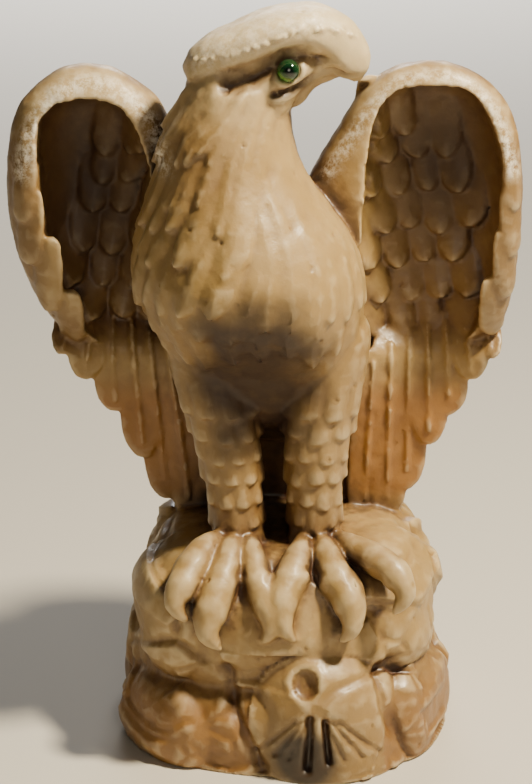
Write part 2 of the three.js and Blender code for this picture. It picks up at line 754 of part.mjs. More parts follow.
function rock() {
  const bulge = (rows, around, steps, waves, depth) =>
    solidOf(
      skin(around, steps, (turn, share) => {
        const [x, y, z] = uprightPoint(rows, turn, share, 2.2);
        const end = Math.sin(Math.PI * share);
        const swell = 1 + end * depth * Math.sin(2 * Math.PI * (waves * turn + 0.6 * share));
        return [x * swell, y * swell, z];
      }),
    );
  const stones = (list) =>
    list.map(([x, y, z, halfX, halfY, halfZ, turn]) => {
      const boulder = skin(14, 10, (around, share) => {
        const up = -Math.cos(Math.PI * share);
        const level = bow(Math.sin(Math.PI * share), STONE_CORNER);
        const c = bow(Math.cos(2 * Math.PI * around), STONE_CORNER);
        const s = bow(Math.sin(2 * Math.PI * around), STONE_CORNER);
        return [halfX * level * c, halfY * level * s, halfZ * bow(up, STONE_CORNER)];
      });
      boulder.rotateZ(turn);
      return solidOf(boulder.translate(x, y, z));
    });
  const lower = joined([
    bulge(LOWER_ROCK, 26, 9, 5, 0.012),
    ...stones(FOOT_STONES),
    upright(BOSS, 20, 12),
  ]);
  const cuts = CREVICES.map((rows) => limb(rows, 5, 4));
  for (const [top, foot] of BOSS_GROOVES) cuts.push(groove(top, 21, foot, 7, 0.8));
  for (const angle of SLOTS) cuts.push(groove(angle, 8 + SLOT_LENGTH, angle, 6, SLOT_WIDTH / 2));
  const { at, out } = onUpright(BOSS)(DIMPLE.angle, DIMPLE.z);
  const dimple = new THREE.SphereGeometry(DIMPLE_DIAMETER / 2, 10, 6);
  dimple.scale(1, DIMPLE_DEPTH / (DIMPLE_DIAMETER / 2), 1);
  dimple.rotateX(-0.55);
  dimple.translate(at[0], at[1] + 0.3, at[2]);
  cuts.push(solidOf(dimple));
  const upper = joined([bulge(UPPER_ROCK, 26, 12, 4, 0.014), ...stones(UPPER_STONES)]);
  const whole = joined([upper, lower.subtract(joined(cuts))]);
  const size = [
    ROCK_WIDTH / SHAPED_ROCK.width,
    ROCK_DEPTH / SHAPED_ROCK.depth,
    ROCK_HEIGHT / SHAPED_ROCK.height,
  ];
  return whole.scale(size).trimByPlane([0, 0, 1], 0);
}

// The eyes, half sunk in sockets that are larger by the clearance.
const eyeMiddle = (side) => {
  const size = EAGLE_HEIGHT / POSED_HEIGHT;
  const out = EYE_PLACE.cheek * size + EYE_STANDS_OUT - EYE_DIAMETER / 2;
  const y = HEAD_MIDDLE_Y * size + side * out;
  return new THREE.Vector3(EYE_PLACE.x * size, y, EYE_PLACE.z * size + ROCK_HEIGHT);
};
const eyeBall = (diameter) => new THREE.SphereGeometry(diameter / 2, 16, 10);

async function casting() {
  const whole = await thinned(joined([eagle(), rock()]), CASTING_TRIANGLES);
  const sockets = [-1, 1].map((side) => {
    const ball = eyeBall(EYE_DIAMETER + 2 * EYE_CLEARANCE);
    return solidOf(ball.translate(...eyeMiddle(side).toArray()));
  });
  return outerShell(whole.subtract(joined(sockets)));
}

const resin = new THREE.MeshStandardMaterial({ color: "#b89a6c", roughness: 0.4, metalness: 0 });
const greenGlass = new THREE.MeshStandardMaterial({ color: "#2c7a3c", roughness: 0.05, metalness: 0 });

const eagleOnRock = new THREE.Group();
const cast = new THREE.Mesh(drawnApart(geometryOf(await casting())), resin);
cast.name = "eagle_casting";
eagleOnRock.add(cast);
for (const [name, side] of [
  ["right_eye", -1],
  ["left_eye", 1],
]) {
  const eye = new THREE.Mesh(geometryOf(solidOf(eyeBall(EYE_DIAMETER))), greenGlass);
  eye.name = name;
  eye.position.copy(eyeMiddle(side));
  eagleOnRock.add(eye);
}

export default eagleOnRock;
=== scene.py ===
# %% [markdown]
# # A resin eagle on a rock
#
# The real object is one casting: resin poured into a mould of a carved eagle and its rock, with two
# glass beads glued in as eyes. So the visual model is one skin too. Every form of the carving (breast,
# wings, feathers, toes, stones) is first made as a closed body of its own, the bodies run into each
# other as clay does under a modeller's hands, and one fine remesh turns them into a single surface. The
# small marks of mould and age come after that.
#
# The script works in millimetres and turns the finished pieces into metres at the end.

# %% load the frame
import bisect
import math
import random

import bmesh
import bpy
import numpy as np
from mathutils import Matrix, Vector, noise
from mathutils.bvhtree import BVHTree


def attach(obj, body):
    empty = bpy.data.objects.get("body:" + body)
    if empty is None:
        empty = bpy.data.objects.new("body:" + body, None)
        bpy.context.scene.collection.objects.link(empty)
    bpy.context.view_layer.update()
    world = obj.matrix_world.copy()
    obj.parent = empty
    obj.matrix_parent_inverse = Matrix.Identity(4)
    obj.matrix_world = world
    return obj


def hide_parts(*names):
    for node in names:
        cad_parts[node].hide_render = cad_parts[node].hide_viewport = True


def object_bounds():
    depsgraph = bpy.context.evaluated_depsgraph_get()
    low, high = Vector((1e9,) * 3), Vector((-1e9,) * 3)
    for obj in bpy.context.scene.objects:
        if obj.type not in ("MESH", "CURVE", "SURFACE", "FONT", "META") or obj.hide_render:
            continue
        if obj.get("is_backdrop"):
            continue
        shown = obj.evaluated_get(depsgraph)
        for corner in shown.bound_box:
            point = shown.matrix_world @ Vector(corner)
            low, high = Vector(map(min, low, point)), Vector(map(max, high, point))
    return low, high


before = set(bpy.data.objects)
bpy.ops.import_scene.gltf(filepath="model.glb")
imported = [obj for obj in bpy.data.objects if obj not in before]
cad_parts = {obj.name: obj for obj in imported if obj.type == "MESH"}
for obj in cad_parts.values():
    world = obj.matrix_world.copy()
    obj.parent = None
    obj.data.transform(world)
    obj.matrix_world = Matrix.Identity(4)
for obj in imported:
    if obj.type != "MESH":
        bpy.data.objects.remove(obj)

MM = 0.001
ROCK_HEIGHT = 56  # millimetres, up to the perch
HEAD_Y = -10  # the plane that halves the head
TAU = 2 * math.pi
plain = lambda box: [[round(float(c), 6) for c in corner] for corner in box]
sizes = {"at_load": plain(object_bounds())}
print("frame", sizes["at_load"])

# %% [markdown]
# ## Tools for soft, carved forms
#
# A sculptor thinks in sections: how wide and how deep the breast is at each height. So each large form
# is a short table of sections, and a smooth curve through its rows gives every height in between.
# Blender's ball operator supplies the grid of faces, and each of its points moves to the place that the
# sections give, which keeps the form closed at both ends.

# %% sections and skins
def lerp(a, b, t):
    return a + (b - a) * t


def ease(value, low, high):
    t = min(max((value - low) / (high - low), 0), 1)
    return t * t * (3 - 2 * t)


def bow(value, corner):
    return math.copysign(abs(value) ** (2 / corner), value)


def between(rows, share):
    """A row between the rows of a table, on a smooth curve through them."""
    place = min(max(share, 0), 1) * (len(rows) - 1)
    at = min(int(place), len(rows) - 2)
    t = place - at
    a, b, c, d = (rows[min(max(at + k, 0), len(rows) - 1)] for k in (-1, 0, 1, 2))
    return [
        q + 0.5 * t * (r - p + t * (2 * p - 5 * q + 4 * r - s + t * (3 * q - 3 * r + s - p)))
        for p, q, r, s in zip(a, b, c, d)
    ]


def by_height(rows):
    """The row of a table at a height, where the first column is the height."""
    fine = sorted(between(rows, i / 400) for i in range(401))
    heights = [row[0] for row in fine]

    def at(z):
        i = min(max(bisect.bisect_left(heights, z), 1), len(fine) - 1)
        low, high = fine[i - 1], fine[i]
        t = (z - low[0]) / max(high[0] - low[0], 1e-9)
        return [lerp(p, q, min(max(t, 0), 1)) for p, q in zip(low, high)]

    return at


def skin(bm, around, along, point_at):
    """A ball's grid whose points move to point_at(turn, share), added to bm."""
    form = bmesh.new()
    ball = bmesh.ops.create_uvsphere(form, u_segments=around, v_segments=along, radius=1)
    for v in ball["verts"]:
        turn = math.atan2(v.co.y, v.co.x) / TAU % 1
        share = math.acos(min(max(-v.co.z, -1), 1)) / math.pi
        v.co = point_at(turn, share)
    mesh = bpy.data.meshes.new("form")
    form.to_mesh(mesh)
    form.free()
    bm.from_mesh(mesh)
    bpy.data.meshes.remove(mesh)


def upright_point(row, turn, corner=2):
    z, x, y, half, front, back = row
    c = bow(math.cos(TAU * turn), corner)
    s = bow(math.sin(TAU * turn), corner)
    return (x + half * c, y + (front if s < 0 else back) * s, z)


def upright(bm, rows, around, along, corner=2):
    """Rows of z, x, y, half width, reach to the front and to the back."""
    skin(bm, around, along, lambda turn, share: upright_point(between(rows, share), turn, corner))


def on_upright(rows, corner=2):
    """A point of an upright form and the way out of it, at an angle from the front and a height."""
    row_at = by_height(rows)

    def surface(angle, z):
        _, x, y, half, front, back = row_at(z)
        c, s = bow(math.sin(angle), corner), bow(-math.cos(angle), corner)
        at = Vector((x + half * c, y + (front if s < 0 else back) * s, z))
        return at, Vector((math.sin(angle), -math.cos(angle), 0))

    return surface


def lengthwise(bm, rows, around, along, corner):
    """A form along X: rows of x, y, half depth, top and bottom."""

    def point(turn, share):
        x, y, half, top, bottom = between(rows, share)
        c = bow(math.cos(TAU * turn), corner)
        s = bow(math.sin(TAU * turn), corner)
        return (x, y + half * c, (top + bottom) / 2 + (top - bottom) / 2 * s)

    skin(bm, around, along, point)


def limb(bm, rows, around, along, ripple=lambda turn, share: 1):
    """A round form along a path: rows of x, y, z, radius."""

    def point(turn, share):
        x, y, z, radius = between(rows, share)
        ahead = Vector(between(rows, min(share + 0.02, 1))[:3])
        behind = Vector(between(rows, max(share - 0.02, 0))[:3])
        way = (ahead - behind).normalized()
        side = (Vector((1, 0, 0)) - way * way.x).normalized()
        over = way.cross(side)
        r = 0 if share < 1e-4 or share > 1 - 1e-4 else radius * ripple(turn, share)
        return Vector((x, y, z)) + r * (side * math.cos(TAU * turn) + over * math.sin(TAU * turn))

    skin(bm, around, along, point)

# %% [markdown]
# ## Feathers
#
# A carved feather is a low tongue that lies on what is under it: its root is sunk and hidden by the
# feather before it, its sides fall away, and its rounded tip stands proud and throws the small shadow
# that makes the row readable. One function makes coverts, flight feathers, hackles and the scales of
# the trousers, by their lengths and widths.

# %% one feather
rng = random.Random(7)
SHAFT_WIDTH = 0.7


def feather(
    bm, surface, root, tip, half, rise, sink, blunt=1.0, root_width=0.7, shaft=0, fine=(14, 14), flat=2.2
):
    """A tongue from root to tip on a surface; lengths in millimetres, fine is points round and along."""
    dp, dq = tip[0] - root[0], tip[1] - root[1]
    length = math.hypot(dp, dq)
    round_from = 1 - min(half * blunt / length, 0.6)

    def point(turn, share):
        s = 0.5 - 0.5 * math.cos(math.pi * share)
        width = lerp(root_width, 1, ease(s, 0, 0.4)) * min(s / 0.06, 1) ** 0.5
        if s > round_from:
            width *= math.sqrt(max(1 - ((s - round_from) / (1 - round_from)) ** 2.2, 0))
        side, up = bow(math.cos(TAU * turn), flat), math.sin(TAU * turn)
        across = half * width * side
        p = root[0] + dp * s - dq / length * across
        q = root[1] + dq * s + dp / length * across
        top = rise * lerp(0.1, 1, s)
        if up > 0:
            height = top * up ** (1.5 / flat) + shaft * math.exp(-((across / SHAFT_WIDTH) ** 2))
        else:
            height = -sink * (-up) ** 0.7
        if share < 1e-4 or share > 1 - 1e-4:
            height = 0.25 * top
        at, out = surface(p, q)
        return at + out * height

    skin(bm, fine[0], fine[1], point)


def on_scaled(surface, radius):
    """An upright form's surface with its angle unrolled into a length."""
    return lambda p, q: surface(p / radius, q)


# %% [markdown]
# ## The breast and the neck
#
# The body is one upright form from the vent to the nape. On the real figure long hackle locks run down
# from the neck and sweep to the eagle's right, crowded and sharp there, and die out on the smooth,
# rubbed breast. They are laid row after row from the foot up, so that each row covers the roots of the
# one below it.

# %% breast and hackles
TORSO = [
    [20, -3, 15, 0, 0, 0], [25, -3.5, 12, 15, 9, 12], [34, -4.6, 4, 20, 15, 19],
    [44, -5.4, 0, 22.5, 20, 22], [56, -7.4, -4, 26, 29.5, 24], [66, -9, -6, 28.6, 33.5, 25],
    [76, -10.2, -7, 29.6, 33.5, 25], [86, -11, -7.5, 27.4, 29.5, 24], [95, -12.8, -8, 22.8, 25, 21.5],
    [104, -14.6, -8.5, 18.6, 20.5, 19], [113, -15, -8.8, 16.2, 17.5, 16.5], [122, -13.8, -9, 14, 14.5, 14],
    [131, -13, -9.5, 11.5, 11.5, 11.5], [138, -13, -9.5, 0, 0, 0],
]
eagle = bmesh.new()
upright(eagle, TORSO, 96, 90)
torso = on_upright(TORSO)
NAPE = 127  # the highest root of a lock
UNROLL = 24  # the radius at which angles on the breast become lengths
unrolled = on_scaled(torso, UNROLL)
locks = 0
for level in range(8):
    z = 54 + 8.6 * level
    for k in range(9):
        angle = -1.66 + 0.27 * (k + 0.5 * (level % 2)) + rng.uniform(-0.09, 0.09)
        smooth = ease(angle, -0.5, 0.3) * ease(z, 58, 72)
        if smooth > 0.9:
            continue
        foot = z + rng.uniform(-3.5, 3.5)
        length = rng.uniform(26, 40)
        sweep = rng.uniform(0.45, 0.75) * ease(z, 54, 80)
        root = (UNROLL * (angle + sweep), min(foot + length, NAPE))
        rise = rng.uniform(2.1, 3.3) * (1 - 0.85 * smooth) * lerp(0.5, 1, ease(z, 56, 72))
        half = rng.uniform(3.2, 4.4)
        feather(eagle, unrolled, root, (UNROLL * angle, foot), half, rise, 1.5, 2.6, 0.5, 0.3)
        locks += 1
for level in range(4):
    for k in range(4):
        angle = 0.62 + 0.24 * (k + 0.5 * (level % 2)) + rng.uniform(-0.05, 0.05)
        z = 38 + 9.5 * level + rng.uniform(-1.5, 1.5)
        for way, foot, length in ((1, z, 17), (-1, z - 2, 17)):
            root = (way * UNROLL * (angle + 0.1), foot + length)
            feather(eagle, unrolled, root, (way * UNROLL * angle, foot), 2.9, 1.3, 1.4, 1.8, 0.6, 0.2)
print("hackle locks", locks)

# %% [markdown]
# ## The head
#
# Skull, crown and beak are forms along X, because the head looks to +X. The flat crown overhangs the
# cheeks as a brow, which gives the eagle its stern look, and runs down into the hooked beak. The
# mandible is a slim form below.

# %% skull, crown, beak
SKULL = [
    [-27.4, -10, 0, 131, 131], [-25, -10, 5.5, 135.5, 125], [-21.5, -10, 8.6, 138, 118],
    [-16, -10, 10.8, 140, 114], [-9, -10, 11.4, 143, 112], [-3, -10, 11.2, 144, 114],
    [2, -10, 10.4, 144.5, 123.4], [6.5, -10, 10, 144.5, 127.4], [11, -10, 8.9, 143, 129],
    [15, -10, 7.4, 141, 129.6], [18.2, -10, 5, 138, 130], [20.4, -10, 0, 134, 134],
]
CROWN = [
    [-27.8, -10, 0, 131, 131], [-25.5, -10, 6.5, 135.4, 127], [-21, -10, 10, 139, 128],
    [-15, -10, 12.2, 142, 129.3], [-9, -10, 13, 144.7, 131.6], [-3, -10, 13, 146.4, 133.8],
    [2, -10, 12.2, 147, 135.2], [6.5, -10, 11, 147, 134.6], [11, -10, 9.4, 145.8, 130],
    [15, -10, 7.8, 143.6, 127.8], [18.4, -10, 5.6, 140, 128.4], [20.4, -10, 3.4, 136, 130.5],
    [21.2, -10, 0, 133, 133],
]
HOOK = [
    [16.6, -10, 133, 1], [17.2, -10, 131, 3], [16.9, -10, 129, 2.5], [16.4, -10, 127.8, 1.6],
    [16, -10, 127, 0],
]
MANDIBLE = [
    [-6, -10, 119, 1], [-1, -10, 124.6, 5.2], [5, -10, 128.6, 3.8], [11, -10, 130.4, 2.8],
    [15, -10, 130.6, 2], [16, -10, 131, 0],
]
lengthwise(eagle, SKULL, 56, 70, 2.2)
lengthwise(eagle, CROWN, 64, 80, 2.6)
limb(eagle, HOOK, 20, 16)
limb(eagle, MANDIBLE, 20, 24)
print("head", CROWN[0][0], "to", CROWN[-1][0], "mm along X")

# %% [markdown]
# ## The wings
#
# Each raised wing is a cup: a rounded back, a thick rim, and a deep hollow that opens to the front. It
# is one skin, whose front side drops to the hollow's floor wherever a point lies inside the hollow's
# outline. The coverts lie in staggered rows on that floor, and the long flight feathers on a panel that
# runs down behind the legs.

# %% cupped wings
LEFT_WING = [
    [129.6, -53, -53, 4, 0, 0], [127.9, -46, -60.5, 4.5, 4.5, 6], [124, -40, -66.3, 5, 8, 11],
    [119, -34.5, -71.3, 5, 9.5, 16], [112, -31.5, -74, 5, 10.5, 18], [103, -30, -75.4, 5, 11, 19],
    [92, -28.5, -75.8, 5, 11, 19], [80, -26, -74.2, 6, 11, 18], [68, -22, -70.5, 8, 10, 16],
    [57, -17, -64.5, 10.5, 7.5, 13], [47, -14, -55, 13.5, 1.5, 9.5], [36, -12, -45, 15, 0.8, 8.5],
    [24, -11, -38, 16.4, 0.8, 7.6], [12, -10, -33, 17, 0.8, 7], [0, -9, -29, 17, 0.8, 7],
    [-6, -20, -20, 17, 0, 0],
]
RIGHT_WING = [
    [130.4, 37.5, 37.5, 4, 0, 0], [128.6, 29, 45.5, 4.5, 4.5, 6], [124.6, 22.5, 52.8, 5, 8, 11],
    [119, 17.5, 58, 5, 9.5, 16], [112, 13.5, 61, 5, 10.5, 18], [103, 8, 62.5, 5, 11, 19],
    [92, 3, 63.2, 5, 11, 19], [80, 3, 62.8, 6, 11, 18], [68, 3, 62, 8, 10, 16],
    [57, 3, 59.5, 10.5, 7.5, 13], [47, 3, 52.5, 13.5, 1.5, 9.5], [36, 3, 44.5, 15, 0.8, 8.5],
    [24, 2, 38, 16.4, 0.8, 7.6], [12, 2, 33.5, 17, 0.8, 7], [0, 2, 31, 17, 0.8, 7], [-6, 18, 18, 17, 0, 0],
]
LEFT_HOLLOW = [
    [121, -53, -53, 0], [119.6, -46, -61, 6], [114, -41, -66, 10], [104, -37.5, -67, 13],
    [92, -36, -66.6, 14], [80, -34.5, -65.6, 13.5], [68, -33, -62.5, 11], [57, -31, -57, 7],
    [48, -33, -50, 3], [42, -41, -41, 0],
]
RIGHT_HOLLOW = [
    [124.5, 38, 38, 0], [123, 28.5, 47, 6], [117, 23.5, 52.5, 10], [106, 21, 56.5, 13], [92, 20, 58.4, 14],
    [80, 19.4, 58.4, 13.5], [68, 19, 56.5, 11], [57, 19, 52.5, 7], [48, 22, 46, 3], [42, 34, 34, 0],
]
WING_CORNER = 2.5
HOLLOW_CORNER = 2.4


def sections(wing):
    return [[z, (a + b) / 2, y, abs(b - a) / 2, front, back] for z, a, b, y, front, back in wing]


def wing_surfaces(wing, hollow):
    """The depths of a wing's front, back and hollow floor, as functions of x and z."""
    wing_at, hollow_at = by_height(sections(wing)), by_height(hollow)
    top, foot = hollow[0][0], hollow[-1][0]

    def side(x, z, way):
        _, middle, y, half, front, back = wing_at(z)
        off = min(abs(x - middle) / max(half, 0.01), 0.97)
        return y + (back if way > 0 else -front) * (1 - off**WING_CORNER) ** (1 / WING_CORNER)

    def floor(x, z):
        _, a, b, depth = hollow_at(z)
        half = max(abs(b - a) / 2, 0.01)
        off = min(abs(x - (a + b) / 2) / half, 0.97)
        return wing_at(z)[2] + depth * (1 - off**HOLLOW_CORNER) ** (1 / HOLLOW_CORNER)

    def inside(x, z):
        if not foot < z < top:
            return False
        _, a, b, _ = hollow_at(z)
        return abs(x - (a + b) / 2) < abs(b - a) / 2

    return side, floor, inside


SLOPE_STEP = 1.5


def facing(depth, way):
    """A surface given by its depth, with the way out of it: 1 to the back, -1 to the front."""

    def surface(x, z):
        slope_x = (depth(x + SLOPE_STEP, z) - depth(x - SLOPE_STEP, z)) / (2 * SLOPE_STEP)
        slope_z = (depth(x, z + SLOPE_STEP) - depth(x, z - SLOPE_STEP)) / (2 * SLOPE_STEP)
        return Vector((x, depth(x, z), z)), Vector((-slope_x * way, way, -slope_z * way)).normalized()

    return surface


def wing_body(bm, wing, hollow):
    rows = sections(wing)
    side, floor, inside = wing_surfaces(wing, hollow)

    def point(turn, share):
        x, y, z = upright_point(between(rows, share), turn, WING_CORNER)
        if math.sin(TAU * turn) < 0 and inside(x, z):
            y = max(y, floor(x, z))
        return (x, y, z)

    skin(bm, 200, 150, point)
    return side, floor


# %% [markdown]
# The flight feathers hang from under the coverts down to the rock. Each has a raised shaft, which the
# mould left ragged, so a thin uneven ridge runs along it. The rim of each wing carries a few feathers
# that curl over it.

# %% flight feathers, coverts and rims
LEFT_FLIGHTS = [
    [-59, 62, -63, 48], [-54, 61, -56.5, 40], [-49, 60, -48.5, 30], [-44, 59, -40.5, 16], [-39, 57, -34, 3],
    [-34, 55, -27, -3], [-29, 50, -21, -3],
]
RIGHT_FLIGHTS = [
    [53, 62, 57, 47], [49, 61, 51.5, 40], [44, 60, 45.6, 29], [39, 59, 40, 20], [34, 57, 34, 6],
    [29, 54, 28.5, -3], [24, 49, 22, -3],
]
LEFT_COVERTS = [
    [103, -41, -50], [95, -39, -58], [85, -37, -60], [75, -36, -61], [65, -35, -61], [55, -34, -58],
]
RIGHT_COVERTS = [
    [109, 23, 36], [101, 22.5, 46], [91, 22, 50], [81, 21.5, 52], [71, 21.5, 54], [61, 21.5, 54],
    [51, 24, 51],
]
LEFT_RIM = [[88, -70.4, 3.3, 24], [76, -69.4, 3.7, 22], [62, -65, 3.9, 22], [50, -60, 3.8, 18]]
RIGHT_RIM = [[91, 60, 2.6, 22], [78, 60, 3.1, 20], [66, 59, 3.4, 20], [54, 56.4, 3.8, 18]]
FLIGHTS = 7
COVERT_STEP = 8.6
SHAFT_POINTS = 15
BACK_ROWS = [96, 79, 62]
BACK_LENGTH = 17


def panel_of(middle, floor):
    """The panel under the flight feathers; its sides curl forward and its top runs into the hollow."""

    def surface(x, z):
        curl = lerp(0.003, 0.017, ease(z, 20, 60))
        y = 14.5 - 2.6 * ease(z, 0, 40) - curl * (x - middle) ** 2
        into = ease(z, 46, 58)
        return Vector((x, lerp(y, floor(x, z), into), z)), Vector((0, -1, 0))

    return surface


def wing(bm, table, hollow, flights, coverts, rim):
    side_depth, floor = wing_body(bm, table, hollow)
    way = math.copysign(1, table[5][2])
    panel = panel_of((flights[0][0] + flights[-1][0]) / 2, floor)
    for i in range(FLIGHTS):
        root_x, root_z, tip_x, tip_z = between(flights, i / (FLIGHTS - 1))
        rise = 1.9 + 0.5 * (i % 2)
        half = 5.6 if i else 4.2
        root, tip = (root_x, root_z), (tip_x, tip_z)
        feather(bm, panel, root, tip, half, rise, 5, 1.9, 0.95, fine=(28, 48), flat=4)
        shaft = []
        for k in range(SHAFT_POINTS):
            s = lerp(0.06, 0.9, k / (SHAFT_POINTS - 1))
            at, out = panel(lerp(root_x, tip_x, s), lerp(root_z, tip_z, s))
            at += out * (rise * lerp(0.4, 1, s) - 0.1)
            shaft.append([*at, rng.uniform(0.3, 0.8)])
        limb(bm, shaft, 10, 50)
    face = facing(floor, -1)
    for row, (z, near, far) in enumerate(coverts):
        start = COVERT_STEP / 2 if row % 2 else 0
        count = int((abs(far - near) - start) / COVERT_STEP + 1e-6) + 1
        for k in range(count):
            x = near + way * (start + COVERT_STEP * k) + rng.uniform(-0.5, 0.5)
            tip_z = z + rng.uniform(-1.2, 1.2)
            root = (x - way * rng.uniform(1.5, 4.5), tip_z + 17)
            rise = rng.uniform(2.6, 3.8)
            feather(bm, face, root, (x, tip_z), rng.uniform(4.1, 4.9), rise, 1.8, 1.1, 0.75, shaft=0.2)
    rim_face = facing(lambda x, z: side_depth(x, z, -1), -1)
    for z, x, half, length in rim:
        feather(bm, rim_face, (x - way * 0.8, z + length), (x, z), half, 1.6, 2.4, 1.2, 0.8, shaft=0.2)
    back = facing(lambda x, z: side_depth(x, z, 1), 1)
    rows = by_height(sections(table))
    for row, z in enumerate(BACK_ROWS):
        _, middle, _, half, _, _ = rows(z)
        _, root_middle, _, root_half, _, _ = rows(z + BACK_LENGTH)
        for i in range(4 - row % 2):
            step = (i - 1.5 + 0.5 * (row % 2)) * 0.39
            root = (root_middle + 0.9 * step * root_half, z + BACK_LENGTH)
            tip = (middle + step * half, z)
            feather(bm, back, root, tip, half * 0.24, 2, 1.6, 1.0, 0.7, shaft=0.15)


wing(eagle, LEFT_WING, LEFT_HOLLOW, LEFT_FLIGHTS, LEFT_COVERTS, LEFT_RIM)
wing(eagle, RIGHT_WING, RIGHT_HOLLOW, RIGHT_FLIGHTS, RIGHT_COVERTS, RIGHT_RIM)
print("wings", len(eagle.verts), "points so far")

# %% [markdown]
# ## Legs, tail and feet
#
# The legs are close columns in trousers of short square-ended feathers, five or six rows of them.
# Behind them the tail fills the gap down to the rock. Each toe is thick and wrinkled over its knuckle
# and ends in a hooked claw.

# %% legs and toes
LEG = [
    [-4, 10.6, -13, 0, 0, 0], [-1, 10.6, -13, 6.4, 6.8, 20], [8, 10.6, -12.5, 6.6, 7.4, 20],
    [20, 11.2, -12, 7.4, 8.2, 20], [32, 12.4, -11, 8.8, 9.6, 20], [42, 14, -10, 10, 11.4, 20],
    [52, 16, -9, 11, 13, 20], [62, 18, -8, 9, 11, 18], [68, 18, -8, 0, 0, 0],
]
TAIL = [
    [-8, -3, 25, 0, 0, 0], [-5, -3, 25, 15, 6, 4], [8, -3.4, 24, 16, 8, 5], [22, -4, 22, 15, 9, 6],
    [36, -4.6, 18, 15, 9, 8], [50, -6, 12, 14, 8, 10], [58, -6, 10, 0, 0, 0],
]
TOES = [
    [
        [-16, -15, 3, 2], [-21.5, -23.5, 3.2, 3.6], [-25, -30, 0.8, 4.6], [-28.2, -35.4, -3, 4.6],
        [-30, -38.6, -7.4, 3], [-27.6, -39.6, -11, 1.2], [-26, -39.6, -11.8, 0],
    ],
    [
        [-14, -15, 3, 2], [-15.6, -24.5, 2.2, 3.8], [-17.6, -32, -2.4, 4.8], [-20.4, -37.4, -8.4, 5],
        [-21.4, -40.4, -14.4, 3.4], [-18.8, -41.2, -18.4, 1.3], [-17, -41.2, -19, 0],
    ],
    [
        [-11, -15, 3, 2], [-10, -24.5, 2, 3.4], [-8.4, -32, -2.8, 4.2], [-5.6, -37.4, -8.4, 4],
        [-4.4, -40.2, -13.4, 2.8], [-6.2, -40.8, -16.8, 1.1], [-7.6, -40.8, -17.2, 0],
    ],
    [
        [5, -15, 3, 2], [3.4, -24.5, 2, 3.6], [0.8, -32, -2, 4.6], [-1.8, -37, -7, 4.5],
        [-1.6, -40.2, -12.4, 3], [1, -41, -16.2, 1.2], [2.6, -41, -16.8, 0],
    ],
    [
        [8.5, -15, 3, 2], [10, -24.5, 2.2, 3.6], [12.4, -32, -1.6, 4.6], [15.8, -37, -6.8, 4.5],
        [16.8, -40.4, -12.4, 3.1], [14.4, -41, -16.2, 1.2], [12.8, -41, -16.8, 0],
    ],
    [
        [12, -15, 3, 2], [17, -23.5, 3.2, 3.4], [22.4, -29.4, 2.2, 4.3], [28, -34.6, 0, 4.3],
        [30.8, -38, -4.4, 3], [28.4, -39.2, -8.8, 1.2], [26.8, -39.2, -9.4, 0],
    ],
]
LEG_UNROLL = 8  # the radius at which angles on a leg become lengths
TROUSER_ROWS = 7
for side in (-1, 1):
    rows = [[z, -3 - 0.045 * z + side * x, *rest] for z, x, *rest in LEG]
    upright(eagle, rows, 48, 40)
    trousers = on_scaled(on_upright(rows), LEG_UNROLL)
    for level in range(TROUSER_ROWS):
        z = lerp(0, 38, level / (TROUSER_ROWS - 1))
        for k in range(-4, 5):
            if (k + level) % 2:
                p = LEG_UNROLL * 0.33 * k * (1 if level < 5 else 1.1)
                foot = z + rng.uniform(-0.7, 0.7)
                feather(eagle, trousers, (p, foot + 11), (p, foot), 2.6, 1.7, 1, 0.6, 0.85, 0.2, flat=3)
upright(eagle, TAIL, 40, 30)
WRINKLES, WRINKLE_DEPTH, CLAW_FROM = 6, 0.025, 0.7


def wrinkled(turn, share):
    """The skin of a toe, wrinkled as far as its claw."""
    wave = math.sin(TAU * (WRINKLES * share + 0.1 * math.sin(TAU * turn)))
    return 1 + WRINKLE_DEPTH * wave * (share < CLAW_FROM)


for toe in TOES:
    limb(eagle, toe, 24, 60, wrinkled)
for v in eagle.verts:
    v.co.z += ROCK_HEIGHT
print("eagle", len(eagle.verts), "points")

# %% [markdown]
# ## The rock
#
# The rock is a pile of rounded slabs: an upper block that the toes grip, four low stones round its
# foot, and a boss at the front with a round dimple and two upright slots under it. The stones are
# superellipsoids, boxier than balls.

# %% stones and boss
UPPER_ROCK = [
    [-6, -2, 0, 0, 0, 0], [-4, -2, 0, 38, 34, 36], [8, -1.6, 0, 41, 36, 39], [18, -1.6, 0, 42.6, 37.5, 40],
    [28, -1.4, 0, 41.6, 39, 39], [37, -0.9, 0, 40, 40, 38], [45, -0.6, 0, 38.6, 38, 36.5],
    [51, -0.6, 0, 36.6, 34.5, 35], [55, -0.6, 0, 33.6, 30, 32], [57.4, -0.6, 0, 26, 24, 26],
    [58.2, -0.6, 0, 0, 0, 0],
]
LOWER_ROCK = [
    [-6, 0, -2, 0, 0, 0], [-4, 0, -2, 40, 38, 39], [5, 0, -2, 43.6, 41.5, 42.5], [13, 0, -2, 44, 42, 43.5],
    [18, 0, -2, 43, 41, 42.5], [21.5, 0, -2, 40, 38, 40], [23, 0, -2, 34, 32, 34], [24, 0, -2, 0, 0, 0],
]
FOOT_STONES = [
    [-26, -18, 8, 18.5, 22, 15.6, 0.5], [31, -15, 9, 13.5, 23, 16.6, -0.32],
    [-25.5, 17, 8, 18, 23, 14.5, -0.5], [26, 18, 8, 18, 22, 15, 0.5],
]
UPPER_STONES = [
    [-25, -14, 36, 17, 20, 20, 0.35], [24, -10, 38, 17.5, 21, 20, -0.3], [-24, 18, 37, 18, 18, 19, -0.3],
    [23, 17, 38, 18, 18, 19, 0.3],
]
